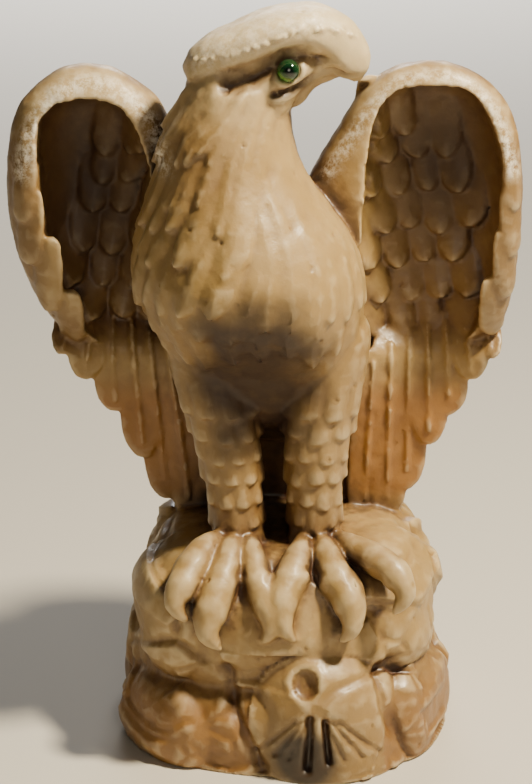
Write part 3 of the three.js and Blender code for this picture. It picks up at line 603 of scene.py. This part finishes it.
BOSS = [
    [-6, 9, -26, 0, 0, 0], [-4, 9, -26, 21, 20, 14], [6, 9, -26, 23.5, 22, 16], [15, 8.6, -26, 23, 22, 16],
    [23, 7.8, -26, 20.5, 20.6, 14], [30, 6.6, -26, 16, 17, 12], [35, 6, -26, 9.4, 11, 8],
    [36.8, 6, -26, 0, 0, 0],
]
ROCK_CORNER = 2.2
STONE_CORNER = 2.5
rock = bmesh.new()


def bulging(bm, rows, around, along, waves, depth):
    def point(turn, share):
        x, y, z = upright_point(between(rows, share), turn, ROCK_CORNER)
        bulge = 1 + math.sin(math.pi * share) * depth * math.sin(TAU * (waves * turn + 0.6 * share))
        return (x * bulge, y * bulge, z)

    skin(bm, around, along, point)


def stone(bm, x, y, z, half_x, half_y, half_z, turned):
    c, s = math.cos(turned), math.sin(turned)

    def point(turn, share):
        level = bow(math.sin(math.pi * share), STONE_CORNER)
        u = half_x * level * bow(math.cos(TAU * turn), STONE_CORNER)
        v = half_y * level * bow(math.sin(TAU * turn), STONE_CORNER)
        height = half_z * bow(math.cos(math.pi * share), STONE_CORNER)
        return (x + u * c - v * s, y + u * s + v * c, z - height)

    skin(bm, 56, 40, point)


bulging(rock, UPPER_ROCK, 90, 60, 4, 0.014)
bulging(rock, LOWER_ROCK, 90, 40, 5, 0.012)
for row in UPPER_STONES + FOOT_STONES:
    stone(rock, *row)
upright(rock, BOSS, 80, 60)
print("rock", len(rock.verts), "points")

# %% [markdown]
# ## One skin
#
# The bodies are joined and remeshed on a fine grid, as a mould takes one skin from many pressed-on
# pieces of clay. A light smoothing takes off the steps of the grid and gives the soft edges that poured
# resin has.

# %% remesh
def object_of(name, bm):
    mesh = bpy.data.meshes.new(name)
    bm.to_mesh(mesh)
    bm.free()
    obj = bpy.data.objects.new(name, mesh)
    bpy.context.scene.collection.objects.link(obj)
    return obj


def baked(obj):
    """The object's mesh with its modifiers worked in."""
    bpy.context.view_layer.update()
    evaluated = obj.evaluated_get(bpy.context.evaluated_depsgraph_get())
    mesh = bpy.data.meshes.new_from_object(evaluated)
    obj.modifiers.clear()
    old, obj.data = obj.data, mesh
    bpy.data.meshes.remove(old)
    return obj


for v in rock.verts:
    v.co.z = max(v.co.z, 0)
rock_mesh = bpy.data.meshes.new("rock")
rock.to_mesh(rock_mesh)
rock.free()
eagle.from_mesh(rock_mesh)
bpy.data.meshes.remove(rock_mesh)
for v in eagle.verts:
    v.co *= MM
casting = object_of("resin_casting", eagle)
VOXEL = 0.6
remesh = casting.modifiers.new("one_skin", "REMESH")
remesh.mode = "VOXEL"
remesh.voxel_size = VOXEL * MM
soften = casting.modifiers.new("soften", "SMOOTH")
soften.factor = 0.5
soften.iterations = 3
baked(casting)
print("one skin", len(casting.data.polygons), "faces")

# %% [markdown]
# The forms close off a few pockets between them. In the real casting they are solid resin, so only the
# largest connected shell stays.

# %% outer shell
def edges_of(mesh):
    pairs = np.empty(len(mesh.edges) * 2, np.int64)
    mesh.edges.foreach_get("vertices", pairs)
    return pairs.reshape(-1, 2)


def outer_shell(obj):
    bm = bmesh.new()
    bm.from_mesh(obj.data)
    shells, seen = [], set()
    for start in bm.verts:
        if start in seen:
            continue
        seen.add(start)
        shell = [start]
        for v in shell:
            for edge in v.link_edges:
                near = edge.other_vert(v)
                if near not in seen:
                    seen.add(near)
                    shell.append(near)
        shells.append(shell)
    inner = [v for shell in sorted(shells, key=len)[:-1] for v in shell]
    bmesh.ops.delete(bm, geom=inner, context="VERTS")
    bm.to_mesh(obj.data)
    bm.free()
    return len(inner)


print("inner points removed", outer_shell(casting))

# %% [markdown]
# ## Marks of the mould, the knife and age
#
# What is smaller than a feather is pressed into the finished skin: points move along the way the skin
# faces. A stroke follows a line of points and is deepest on it, as a modelling tool leaves it. The rock
# is broken up into facets with creases between them. The resin's own skin is never quite even, and has
# small pits and bubbles.

# %% read the skin
def read(mesh):
    place = np.empty(len(mesh.vertices) * 3, np.float32)
    mesh.vertices.foreach_get("co", place)
    out = np.empty(len(mesh.vertices) * 3, np.float32)
    mesh.vertex_normals.foreach_get("vector", out)
    return place.reshape(-1, 3) / MM, out.reshape(-1, 3)


def write(mesh, place):
    mesh.vertices.foreach_set("co", (place * MM).astype(np.float32).ravel())
    mesh.update()


def smooth_step(value, low, high):
    t = np.clip((value - low) / (high - low), 0, 1)
    return t * t * (3 - 2 * t)


def to_line(points, line):
    """How far each point lies from a line of points."""
    nearest = np.full(len(points), np.inf)
    for a, b in zip(np.array(line[:-1], float), np.array(line[1:], float)):
        t = np.clip(((points - a) @ (b - a)) / max((b - a) @ (b - a), 1e-9), 0, 1)
        nearest = np.minimum(nearest, np.linalg.norm(points - a - t[:, None] * (b - a), axis=1))
    return nearest


def swell(distance, width):
    return np.exp(-((distance / width) ** 2))


def noise_at(points, scale, seed=0):
    shift = Vector((seed * 17.3, seed * 5.1, seed * 9.7))
    return np.array([noise.noise(Vector(p) / scale + shift) for p in points.tolist()])


place, out = read(casting.data)
x, y, z = place.T
lift = np.zeros(len(place))

# %% [markdown]
# The head: a groove under the brow behind the eye, the line of the mouth with a ragged edge, a sunken
# place in front of the eye, and on the crown the seam of the mould, a thin ragged ridge that was never
# filed off.

# %% strokes on the head
# Each line is places along X and up, in millimetres.
BROW = [(-16, 184.2), (-9, 186), (-4, 188.6), (-1, 190.4), (4, 190.9), (8, 189.6)]
MOUTH = [
    (17.6, 184.4), (14.2, 185.4), (11.6, 186), (7.3, 185), (2.7, 183.4), (-0.6, 182), (-4, 181.6),
]
SEAM = [
    (-25.3, 189.7), (-20, 190.4), (-15.1, 191.5), (-7, 194.5), (2.6, 198.3), (9, 198), (12.7, 197),
    (19.5, 194.8),
]
HEAD_FROM = 165
head_side = smooth_step(np.abs(y - HEAD_Y), 3.5, 7) * (z > HEAD_FROM)
side_view = place[:, [0, 2]]
rough = noise_at(place, 1.3, 1)
eye_x, eye_y, eye_z = -0.3, 10.4, 187.6  # eye_y is measured from the middle of the head
lift -= 3.0 * head_side * swell(to_line(side_view, BROW), 2.2)
lift -= 1.9 * head_side * swell(to_line(side_view, MOUTH), 0.9) * (0.8 + 0.5 * rough)
lift += 0.4 * head_side * swell(to_line(side_view, [(a, b - 1.8) for a, b in MOUTH]), 0.9)
lift += 0.7 * head_side * swell(to_line(side_view, SEAM), 0.6) * np.clip(0.5 + 1.6 * rough, 0, 1)
around_eye = np.hypot(x - eye_x, z - eye_z)
lift += 0.45 * head_side * swell(around_eye - 3.9, 0.7)
lift -= 1.1 * head_side * swell(np.hypot((x - 8) / 1.5, z - 187.6), 2.6)
pitted = head_side * swell(np.hypot((x - 9) / 1.6, z - 188.6), 2.6)
lift += 0.5 * pitted * noise_at(place, 0.9, 2)
print("head marked, up to", round(float(np.abs(lift).max()), 2), "mm")

# %% [markdown]
# The rock: a Voronoi pattern splits it into cells, and each cell tilts its own way into a flat facet,
# in two sizes. Then come the dimple, the slots and the fan of shallow grooves on the boss, and the
# creases beside it.

# %% facets of the rock
in_rock = smooth_step(57.5 - z, 0, 3) * (1 - smooth_step(-y, 33, 38) * (z > 34))
chips = np.zeros(len(place))
FACETS = [(30, 0.13, 1), (13, 0.05, 2)]  # size of a facet, slope, seed
for size, depth, seed in FACETS:
    for i in np.flatnonzero(in_rock > 0):
        p = Vector(place[i]) / size + Vector((seed * 11.1, 3.3, 7.7))
        p.z *= 1.5
        near, points = noise.voronoi(p)
        gap = near[1] - near[0]
        tilt = noise.cell_vector(points[0] * 7.3) - Vector((0.5, 0.5, 0.5))
        chips[i] += size * depth * 2.4 * tilt.dot(p - points[0]) * ease(gap, 0, 0.2)
        chips[i] -= 0.012 * size * math.exp(-((gap / 0.1) ** 2))
BOSS_FACE = -34  # what lies before this y is the face of the boss
DIMPLE_RADIUS, DIMPLE_DEPTH = 3.7, 2.2
smoother = 1 - 0.6 * (np.hypot(x - 8, z - 16) < 19) * (y < BOSS_FACE)
lift += in_rock * smoother * np.clip(chips, -1.6, 1.2)
on_boss = (y < BOSS_FACE) & (z < 40) & (x > -14) & (x < 31)
across = np.hypot(x - 4.4, z - 27.6)
lift += np.where(on_boss, 0.4 * swell(across - 4.8, 1.0), 0)
dimple = np.sqrt(np.clip(1 - (across / DIMPLE_RADIUS) ** 2, 0, 1)) * DIMPLE_DEPTH
dimple = np.where(on_boss, dimple, 0)
slots = sum(
    np.where(on_boss, swell(to_line(side_view, line), width) * 2.6, 0)
    for line, width in (([(4.9, 4.5), (5.7, 19)], 1.2), ([(10.9, 6.5), (9.7, 18)], 0.95))
)
fan = [[(lerp(7.5, foot_x, 0.35), 18), (foot_x, 7)] for foot_x in (-9, -4, 0, 15, 20, 25)]
grooves = sum(np.where(on_boss, swell(to_line(side_view, line), 0.7) * 0.7, 0) for line in fan)
lift -= slots + grooves
lift -= dimple
for line in ([(-17, 29), (-14.5, 18), (-7, 2)], [(24, 27), (26, 19), (33.5, 1)]):
    crease = swell(to_line(side_view, line), 1.6) * (y < -25)
    lift -= 1.7 * crease
print("rock marked, facets up to", round(float(np.abs(chips).max()), 1), "mm")

# %% [markdown]
# The whole skin: a soft unevenness, and small pits where bubbles of air burst. The belly falls back a
# little below the breast, where the real one lies in deep shade. The foot stays flat, because the
# figure stands on it.

# %% skin texture
lift += 0.22 * noise_at(place, 4, 4) + 0.1 * rough
PITS = 160
pits = rng.sample(range(len(place)), PITS)
for i in pits:
    near = np.flatnonzero(np.abs(place - place[i]).max(axis=1) < 1.5)
    gap = np.linalg.norm(place[near] - place[i], axis=1)
    lift[near] -= rng.uniform(0.2, 0.5) * np.exp(-((gap / rng.uniform(0.35, 0.6)) ** 2))
lift[z < 0.8] = 0
recess = swell(np.hypot((x + 8) / 16, (z - 113) / 17), 1) * smooth_step(-y, 14, 26)
lift -= 4 * recess
place = place + out * lift[:, None]
place[:, 2] = np.maximum(place[:, 2], 0)
print("pits", len(pits))

# %% [markdown]
# Each eye sits in a socket a little larger than itself: skin that lies inside the socket's ball moves
# straight into the head until it is out of it.

# %% sockets
EYE_RADIUS = 2.9
EYE_GAP = 0.25
for side in (-1, 1):
    middle = np.array([eye_x, HEAD_Y + side * eye_y, eye_z])
    off = place - middle
    flat_off = np.hypot(off[:, 0], off[:, 2])
    radius = EYE_RADIUS + EYE_GAP
    inside = (flat_off < radius) & (off[:, 1] * side > -radius) & (np.abs(off[:, 1]) < 9)
    deep_y = -side * np.sqrt(np.clip(radius**2 - flat_off**2, 0, None))
    move = inside & (off[:, 1] * side > deep_y * side)
    place[move, 1] = middle[1] + deep_y[move]
    print("socket", side, move.sum(), "points moved")
write(casting.data, place)

# %% [markdown]
# The voxel grid is as fine on a smooth back as on a feather's edge. Decimate takes points away where
# the skin is nearly flat, so the relief stays and the mesh keeps under the limit for one piece.

# %% thin out
TRIANGLES = 188000
thin = casting.modifiers.new("thin_out", "DECIMATE")
thin.ratio = min(1, TRIANGLES / (2 * len(casting.data.polygons)))
baked(casting)
for face in casting.data.polygons:
    face.use_smooth = True
place, out = read(casting.data)
print("casting", len(casting.data.polygons), "faces, box", place.min(0).round(1), place.max(0).round(1))

# %% [markdown]
# ## Where the resin is pale, dark or amber
#
# Colour follows the form on the real piece: hollows hold dirt, edges and the crown are rubbed pale, and
# thin or deep places glow amber. Shade in the hollows and highlights on the rims and crown are painted in
# too. So each point gets eight numbers that the material reads.
# The first two are measured on the mesh: how sheltered a point lies (short rays that hit the casting
# again), and how far it stands out from its neighbours, as on an edge.

# %% measures for the colour
count = len(place)
bvh = BVHTree.FromPolygons(
    [tuple(p) for p in place.tolist()], [tuple(f.vertices) for f in casting.data.polygons], epsilon=0
)
REACH = 26  # how far a ray looks for other resin
RISE = 14
golden = []
for i in range(2, RISE):
    rim = math.sqrt(1 - (i / RISE) ** 2)
    golden.append(Vector((math.cos(2.4 * i) * rim, math.sin(2.4 * i) * rim, i / RISE)))
shelter = np.zeros(count)
for i in range(count):
    way = Vector(out[i])
    turn = way.to_track_quat("Z", "Y")
    start = Vector(place[i]) + way * 0.3
    hit = 0
    for ray in golden:
        _, _, _, far = bvh.ray_cast(start, turn @ ray, REACH)
        if far is not None:
            hit += 1 - far / REACH
    shelter[i] = hit / len(golden)
a, b = edges_of(casting.data).T
total = np.zeros((count, 3))
number = np.zeros(count)
np.add.at(total, a, place[b])
np.add.at(total, b, place[a])
np.add.at(number, a, 1)
np.add.at(number, b, 1)
edge = -((total / number[:, None] - place) * out).sum(1)
for _ in range(2):
    spread = np.zeros(count)
    np.add.at(spread, a, edge[b])
    np.add.at(spread, b, edge[a])
    edge = 0.5 * edge + 0.5 * spread / number
print("shelter", shelter.mean().round(3), "edge", np.percentile(edge, [5, 50, 95]).round(3))

# %% [markdown]
# The other measures are soft patches, each at its place on the figure, in millimetres: the rims and the
# crown, rubbed and with a painted highlight, the pale head with painted light on its top, the amber
# flight feathers, a darker brown on the outer rims, the rock and round the foot, painted shade in the
# cups of the wings, on the legs and on the left of the neck, painted shade in the hollows, under the
# breast, at the mouth and behind the eye, and the stain round the slots.

# %% patches
x, y, z = place.T
side_view = place[:, [0, 2]]


def patch(middle, reach):
    """How far each point is from a middle in x and z, as a share of the patch's reach."""
    return np.hypot((x - middle[0]) / reach[0], (z - middle[1]) / reach[1])


LEFT_WORN_LIT_RIM = [(-33, 163), (-36, 172), (-43, 179), (-52, 182), (-61, 179), (-68, 170), (-71, 158)]
RIGHT_WORN_LIT_RIM = [(10, 158), (20, 173), (28, 182), (37, 184.5), (47, 182), (55, 173), (60, 158)]
CROWN_LINE = [(-24, 190), (-14, 195), (-4, 199), (6, 201)]
# painted highlight and wear: a pale line along the front of each wing rim and along the crown
rims = np.maximum(swell(to_line(side_view, LEFT_WORN_LIT_RIM), 2.6), swell(to_line(side_view, RIGHT_WORN_LIT_RIM), 2.2))
worn_and_highlit = rims * smooth_step(-y, -2, 4)
worn_and_highlit = np.maximum(worn_and_highlit, 0.5 * swell(to_line(side_view, CROWN_LINE), 4) * (z > 186))
# the head is paler, and lighter still towards the top, most of all on the crown, which is painted light
pale_and_top_light = smooth_step(z, 180, 194) + 0.5 * smooth_step(z, 168, 182) * (np.abs(y - HEAD_Y) < 16) * (x < 24)
amber = smooth_step(100 - z, 0, 12) * smooth_step(z - 57, 0, 6) * smooth_step(y, 2, 8) * (y < 22)
amber = np.maximum(amber, 0.8 * smooth_step(24 - z, 0, 8) * (np.abs(x - 8) > 18))
# painted shade: dark brown in the wing hollows, under the breast, at the mouth and behind the eye, where
# shade falls
in_left = swell(patch((-54, 150), (14, 26)), 1) * smooth_step(y, -1, 6)
in_right = swell(patch((42, 157), (16, 22)), 1) * smooth_step(y, -1, 6)
drifting = patch((-9, 109), (16, 22)) + 0.4 * noise_at(place, 9, 5)
belly = smooth_step(1.4 - drifting, 0, 0.85) * smooth_step(-y, 2, 12)
on_head = smooth_step(np.abs(y - HEAD_Y), 3, 6) * (z > HEAD_FROM)
mouth = on_head * swell(to_line(side_view, [(a, b - 0.8) for a, b in MOUTH]), 1.5)
behind_eye = on_head * swell(to_line(side_view, BROW[:4]), 2.6)
painted_shade = np.maximum.reduce([0.9 * in_left, 0.85 * in_right, 0.95 * belly, 0.7 * mouth, 0.55 * behind_eye])
# painted shade in the cups of the wings, on the legs and lower body and on the left of the neck; a darker
# brown on the outer rims, the right slab and round the foot
cup_shade = smooth_step(y, -3, 4) * smooth_step(z, 100, 112)
cup_shade *= np.maximum(smooth_step(-x, 33, 39), smooth_step(x, 23, 34))
outer_rims = smooth_step(176 - z, 0, 14) * smooth_step(np.abs(x + 6), 56, 63)
leg_shade = smooth_step(138 - z, 0, 28) * smooth_step(z - ROCK_HEIGHT, 0, 5) * smooth_step(-y, 0, 8)
neck_shade = swell(patch((-24, 164), (10, 14)), 1) * (y < 4)
right_slab = smooth_step(29 - z, 0, 8) * smooth_step(x, 20, 28)
foot = smooth_step(36 - z, 0, 12)
brown_and_shade = np.maximum.reduce([cup_shade, outer_rims, 0.55 * leg_shade, 0.85 * neck_shade, 0.9 * right_slab, 0.55 * foot])
stain = np.clip(1.4 * swell(patch((4.5, 7), (9, 8.5)) ** 1.5, 1), 0, 0.92) * (y < -36)
measures = {
    "shelter": shelter, "edge": edge, "worn_and_highlit": worn_and_highlit, "pale_and_top_light": pale_and_top_light, "amber": amber, "brown_and_shade": brown_and_shade,
    "painted_shade": painted_shade, "stain": stain,
}
for name, values in measures.items():
    layer = casting.data.attributes.new(name, "FLOAT", "POINT")
    layer.data.foreach_set("value", values.astype(np.float32))
print("measures", ", ".join(f"{name} {values.mean():.2f}" for name, values in measures.items()))

# %% [markdown]
# ## The resin
#
# Casting resin is a slightly milky plastic: light sinks in and comes out warm, so it gets some
# subsurface light, a soft gloss and a thin shinier coat. Its colour runs from a rubbed bone white, with a
# painted highlight on the rims, over honey tan to a brown as dark as coffee in the hollows, which is dirt
# and painted shade. Noise breaks every step, because dirt, wear and shade never end on a line.

# %% materials
def linear(code):
    parts = [int(code[i : i + 2], 16) / 255 for i in (1, 3, 5)]
    return [c / 12.92 if c <= 0.04045 else ((c + 0.055) / 1.055) ** 2.4 for c in parts] + [1]


def new_material(name):
    material = bpy.data.materials.new(name)
    material.use_nodes = True
    material.node_tree.nodes.clear()

    def add(kind, inputs=None, out=0, **settings):
        """Add a node with its settings and links, and give the output that is asked for."""
        node = material.node_tree.nodes.new("ShaderNode" + kind)
        for key, value in settings.items():
            setattr(node, key, value)
        for key, value in (inputs or {}).items():
            if isinstance(value, bpy.types.NodeSocket):
                material.node_tree.links.new(value, node.inputs[key])
            else:
                node.inputs[key].default_value = value
        return node.outputs[out] if node.outputs else node

    return material, add


# %% [markdown]
# The noises are of four real sizes: clouds in the resin, the mottle of its skin, scratches, and a fine
# grain.

# %% noises
# Cast polyester resin, tinted tan, with dirt and painted shade in its hollows, rubbed edges, and a painted
# highlight on the rims.
resin, add = new_material("cast_resin")
SHARE, UNDER, OVER, MIXED = 0, 6, 7, 2  # the sockets of a Mix node that mixes colours
coords = add("TexCoord", out="Object")
paint = {name: add("Attribute", out="Fac", attribute_name=name) for name in measures}
# A noise's scale is 1000 over the size of its patches in millimetres, because coordinates are in metres.
cloudy = add("TexNoise", {"Vector": coords, "Scale": 1000 / 26, "Detail": 3.0, "Roughness": 0.55})
mottle = add("TexNoise", {"Vector": coords, "Scale": 1000 / 6, "Detail": 4.0, "Roughness": 0.55})
grain = add("TexNoise", {"Vector": coords, "Scale": 1000 / 0.8, "Detail": 3.0, "Roughness": 0.7})
scratchy = add("TexNoise", {"Vector": coords, "Scale": 1000 / 2.2, "Detail": 5.0, "Roughness": 0.75})

# %% [markdown]
# Each layer of colour is a share of the surface and what lies there. Dirt and painted shade are thick
# where a place is sheltered, and the mottle makes them uneven. The rubbed layer and the worn layer, with
# its painted highlight, keep to edges that stick out, broken up by scratches.

# %% layers of colour
dappled = add("Math", {0: mottle, 1: 0.35, 2: -0.175}, operation="MULTIPLY_ADD")
# painted shade and dirt, thicker where a place is sheltered
shade_and_dirt = add("Math", {0: paint["shelter"], 1: dappled}, operation="ADD")
tan_share = add("MapRange", {"Value": cloudy, "From Min": 0.35, "From Max": 0.65})
pale_and_top_light_share = add("Math", {0: paint["pale_and_top_light"], 1: 0.5}, operation="MULTIPLY")
amber_share = add("Math", {0: paint["amber"], 1: 0.75}, operation="MULTIPLY")
brown_and_shade_share = add("Math", {0: paint["brown_and_shade"], 1: 0.66}, operation="MULTIPLY")
shade_and_dust_share = add("MapRange", {"Value": shade_and_dirt, "From Min": 0.08, "From Max": 0.36, "To Max": 0.7})
deep_shade_and_grime_share = add("MapRange", {"Value": shade_and_dirt, "From Min": 0.28, "From Max": 0.55, "To Max": 0.92})
uneven_edge = add("Math", {0: mottle, 1: -0.04, 2: paint["edge"]}, operation="MULTIPLY_ADD")
crease_share = add("MapRange", {"Value": uneven_edge, "From Min": -0.02, "From Max": -0.14, "To Max": 0.5})
stands_out = add("MapRange", {"Value": paint["edge"], "From Min": 0.03, "From Max": 0.12, "To Max": 0.4})
open_place = add("MapRange", {"Value": paint["shelter"], "From Min": 0.45, "From Max": 0.15})
rubbed_share = add("Math", {0: stands_out, 1: open_place}, operation="MULTIPLY")
scuffed = add("MapRange", {"Value": scratchy, "From Min": 0.42, "From Max": 0.6})
worn_and_highlit_share = add("Math", {0: paint["worn_and_highlit"], 1: scuffed}, operation="MULTIPLY")
patchy = add("MapRange", {"Value": mottle, "From Min": 0.2, "From Max": 0.5, "To Min": 0.85})
painted_shade_share = add("Math", {0: paint["painted_shade"], 1: patchy}, operation="MULTIPLY")
LAYERS = [
    (tan_share, "#a88c5b"),  # cloudy tan
    (pale_and_top_light_share, "#d6c29a"),  # paler head, and painted light on the top of the crown
    (amber_share, "#97611f"),  # thin, deep-coloured resin
    (brown_and_shade_share, "#6e4f2b"),  # darker brown on the outer rims, the right slab and round the foot, and painted shade in the wing cups, on the legs and on the neck
    (shade_and_dust_share, "#6a4a26"),  # dirt and painted shade in sheltered places
    (deep_shade_and_grime_share, "#241006"),  # old grime and painted deep shade in the deepest ones
    (crease_share, "#5a3516"),
    (rubbed_share, "#e6d3ab"),  # edges that stick out
    (worn_and_highlit_share, "#efe6d4"),  # bare, scuffed resin and a painted highlight on the rims and crown
    # painted shade in the wing hollows, under the breast, at the mouth and behind the eye
    (painted_shade_share, "#2a1409"),
    (paint["stain"], "#1c0c04"),  # round the slots
]
colour = linear("#967945")
for share, code in LAYERS:
    colour = add("Mix", {SHARE: share, UNDER: colour, OVER: linear(code)}, MIXED, data_type="RGBA")
print("layers of colour", len(LAYERS))

# %% [markdown]
# The bumps are too small for the mesh: a mottle half a millimetre deep and a finer grain. Where the skin
# is worn, carries the painted highlight or lies in the painted shade it has less gloss.

# %% gloss and grain
# Cast resin has an IOR of about 1.54 and a satin gloss; light goes about 2 mm into it and comes out red.
dulled = add("Math", {0: paint["worn_and_highlit"], 1: paint["painted_shade"]}, operation="MAXIMUM")
waxy = add("Math", {0: dulled, 1: 0.4, 2: mottle}, operation="MULTIPLY_ADD")
gloss = add("MapRange", {"Value": waxy, "From Min": 0.3, "From Max": 0.8, "To Min": 0.36, "To Max": 0.62})
bump = add("Bump", {"Strength": 0.35, "Distance": 0.0005, "Height": mottle})
fine = add("Bump", {"Strength": 0.3, "Distance": 0.0002, "Height": grain, "Normal": bump})
shader = add(
    "BsdfPrincipled",
    {
        "Base Color": colour, "Roughness": gloss, "Normal": fine, "IOR": 1.54,
        "Subsurface Weight": 0.1, "Subsurface Radius": (1.0, 0.5, 0.2), "Subsurface Scale": 0.002,
        "Coat Weight": 0.1, "Coat Roughness": 0.25,
    },
)
add("OutputMaterial", {"Surface": shader})
casting.data.materials.append(resin)
print("resin nodes", len(resin.node_tree.nodes))

# %% [markdown]
# ## The glass eyes
#
# Eyes for such figures are solid glass beads, green at the side and painted black behind the middle, so
# that a dark pupil looks out through a clear dome. The light from above and to the right would gather in a
# bead's lower left edge, so that side is painted a brighter green.

# %% eyes
# Solid soda-lime glass, pressed and fire-polished, so it is very smooth and its IOR is 1.52.
glass, add = new_material("green_glass")
centre = Vector((eye_x, 0, eye_z)) * MM
coords = add("TexCoord", out="Object")
off = add("VectorMath", {0: coords, 1: centre}, operation="SUBTRACT")
across_off = add("VectorMath", {0: off, 1: (1, 0, 1)}, operation="MULTIPLY")
from_axis = add("VectorMath", {0: across_off}, "Value", operation="LENGTH")
ring = add("MapRange", {"Value": from_axis, "From Max": EYE_RADIUS * MM})
# painted light: a brighter green crescent in the lower left edge of the bead
low_side = add("VectorMath", {0: off, 1: (-0.6, 0, -0.8)}, "Value", operation="DOT_PRODUCT")
glow = add("MapRange", {"Value": low_side, "From Min": 0.1 * MM, "From Max": 2.3 * MM})
painted_light = add("Math", {0: glow, 1: ring}, operation="MULTIPLY")
iris = add("MapRange", {"Value": ring, "From Min": 0.35, "From Max": 0.75})
green = add("Mix", {SHARE: iris, UNDER: linear("#030a06"), OVER: linear("#123a1e")}, MIXED, data_type="RGBA")
green = add("Mix", {SHARE: painted_light, UNDER: green, OVER: linear("#5fae3c")}, MIXED, data_type="RGBA")
shader = add(
    "BsdfPrincipled",
    {
        "Base Color": green, "Roughness": 0.06, "IOR": 1.52, "Transmission Weight": 0.3, "Coat Weight": 0.6,
        "Coat Roughness": 0.03,
    },
)
add("OutputMaterial", {"Surface": shader})
eyes = []
for name, side in (("right_eye_bead", -1), ("left_eye_bead", 1)):
    bead = bmesh.new()
    bmesh.ops.create_uvsphere(bead, u_segments=40, v_segments=28, radius=EYE_RADIUS * MM)
    middle = Vector((eye_x, HEAD_Y + side * eye_y, eye_z)) * MM
    bmesh.ops.translate(bead, verts=bead.verts, vec=middle)
    for face in bead.faces:
        face.smooth = True
    bead = object_of(name, bead)
    bead.data.materials.append(glass)
    eyes.append(bead)
    print(name, len(bead.data.polygons), "faces")

# %% [markdown]
# ## Into the frame
#
# The skin stands for the faceted casting, and the beads for the faceted eyes. All of them belong to the
# one body.

# %% ride
PIECES = [
    (casting, "eagle_casting", "cast_resin"),
    (eyes[0], "right_eye", "green_glass"),
    (eyes[1], "left_eye", "green_glass"),
]
for piece, node, slot in PIECES:
    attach(piece, "root")
    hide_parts(node)
print("pieces", len(PIECES))

# %% [markdown]
# ## Camera, floor and light
#
# The picture was taken from a little above, with a long lens that looks down by about 18 degrees. A
# warm, soft lamp stands high in front and to the right, and little light comes from elsewhere, so
# hollows are deep brown.

# %% camera
LOOKS_DOWN = 18  # degrees
camera = bpy.data.objects.new("camera", bpy.data.cameras.new("camera"))
camera.data.sensor_fit = "VERTICAL"
camera.data.sensor_height = 36
camera.data.lens = 100
camera.location = Vector((-6, -570.6, 280.7)) * MM
camera.rotation_euler = (math.radians(90 - LOOKS_DOWN), 0, 0)
bpy.context.scene.collection.objects.link(camera)
bpy.context.scene.camera = camera
print("camera at", [round(c, 3) for c in camera.location])

# %% [markdown]
# The floor is a plain sheet of matt paper with a faint tooth. Each lamp is a disk, whose size sets how
# soft its shadows are. The third one stands far behind and shines straight down, so it only makes the
# background pale.

# %% floor and lamps
floor = bmesh.new()
bmesh.ops.create_grid(floor, x_segments=1, y_segments=1, size=3)
floor = object_of("floor", floor)
paper, add = new_material("pale_floor")
speckle = add("TexNoise", {"Vector": add("TexCoord", out="Object"), "Scale": 1000 / 2.5, "Detail": 2.0})
bump = add("Bump", {"Strength": 0.1, "Distance": 0.0002, "Height": speckle})
shader = add("BsdfPrincipled", {"Base Color": linear("#c6c0b5"), "Roughness": 0.8, "Normal": bump})
add("OutputMaterial", {"Surface": shader})
floor.data.materials.append(paper)
floor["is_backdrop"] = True


def lamp(name, place, size, watts, code, aim=(0, -10, 110)):
    light = bpy.data.lights.new(name, "AREA")
    light.shape = "DISK"
    light.size = size * MM
    light.energy = watts
    light.color = linear(code)[:3]
    obj = bpy.data.objects.new(name, light)
    obj.location = Vector(place) * MM
    obj.rotation_euler = (Vector(aim) - Vector(place)).to_track_quat("-Z", "Y").to_euler()
    bpy.context.scene.collection.objects.link(obj)


lamp("key", (330, -160, 660), 80, 13.5, "#fff0d0")
lamp("fill", (60, -640, 330), 300, 0.7, "#f2e8d4")
lamp("background", (0, 1900, 1000), 1200, 45, "#ffffff", (0, 1900, 0))
world = bpy.data.worlds.new("room")
world.use_nodes = True
sky = world.node_tree.nodes["Background"]
sky.inputs["Color"].default_value = linear("#f4efe6")
sky.inputs["Strength"].default_value = 0.06
bpy.context.scene.world = world

# %% [markdown]
# ## Done
#
# The box round all pieces is written down beside the one at the start, so that growth past the solids
# shows.

# %% done
sizes["at_finish"] = plain(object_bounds())
print("sizes", sizes)
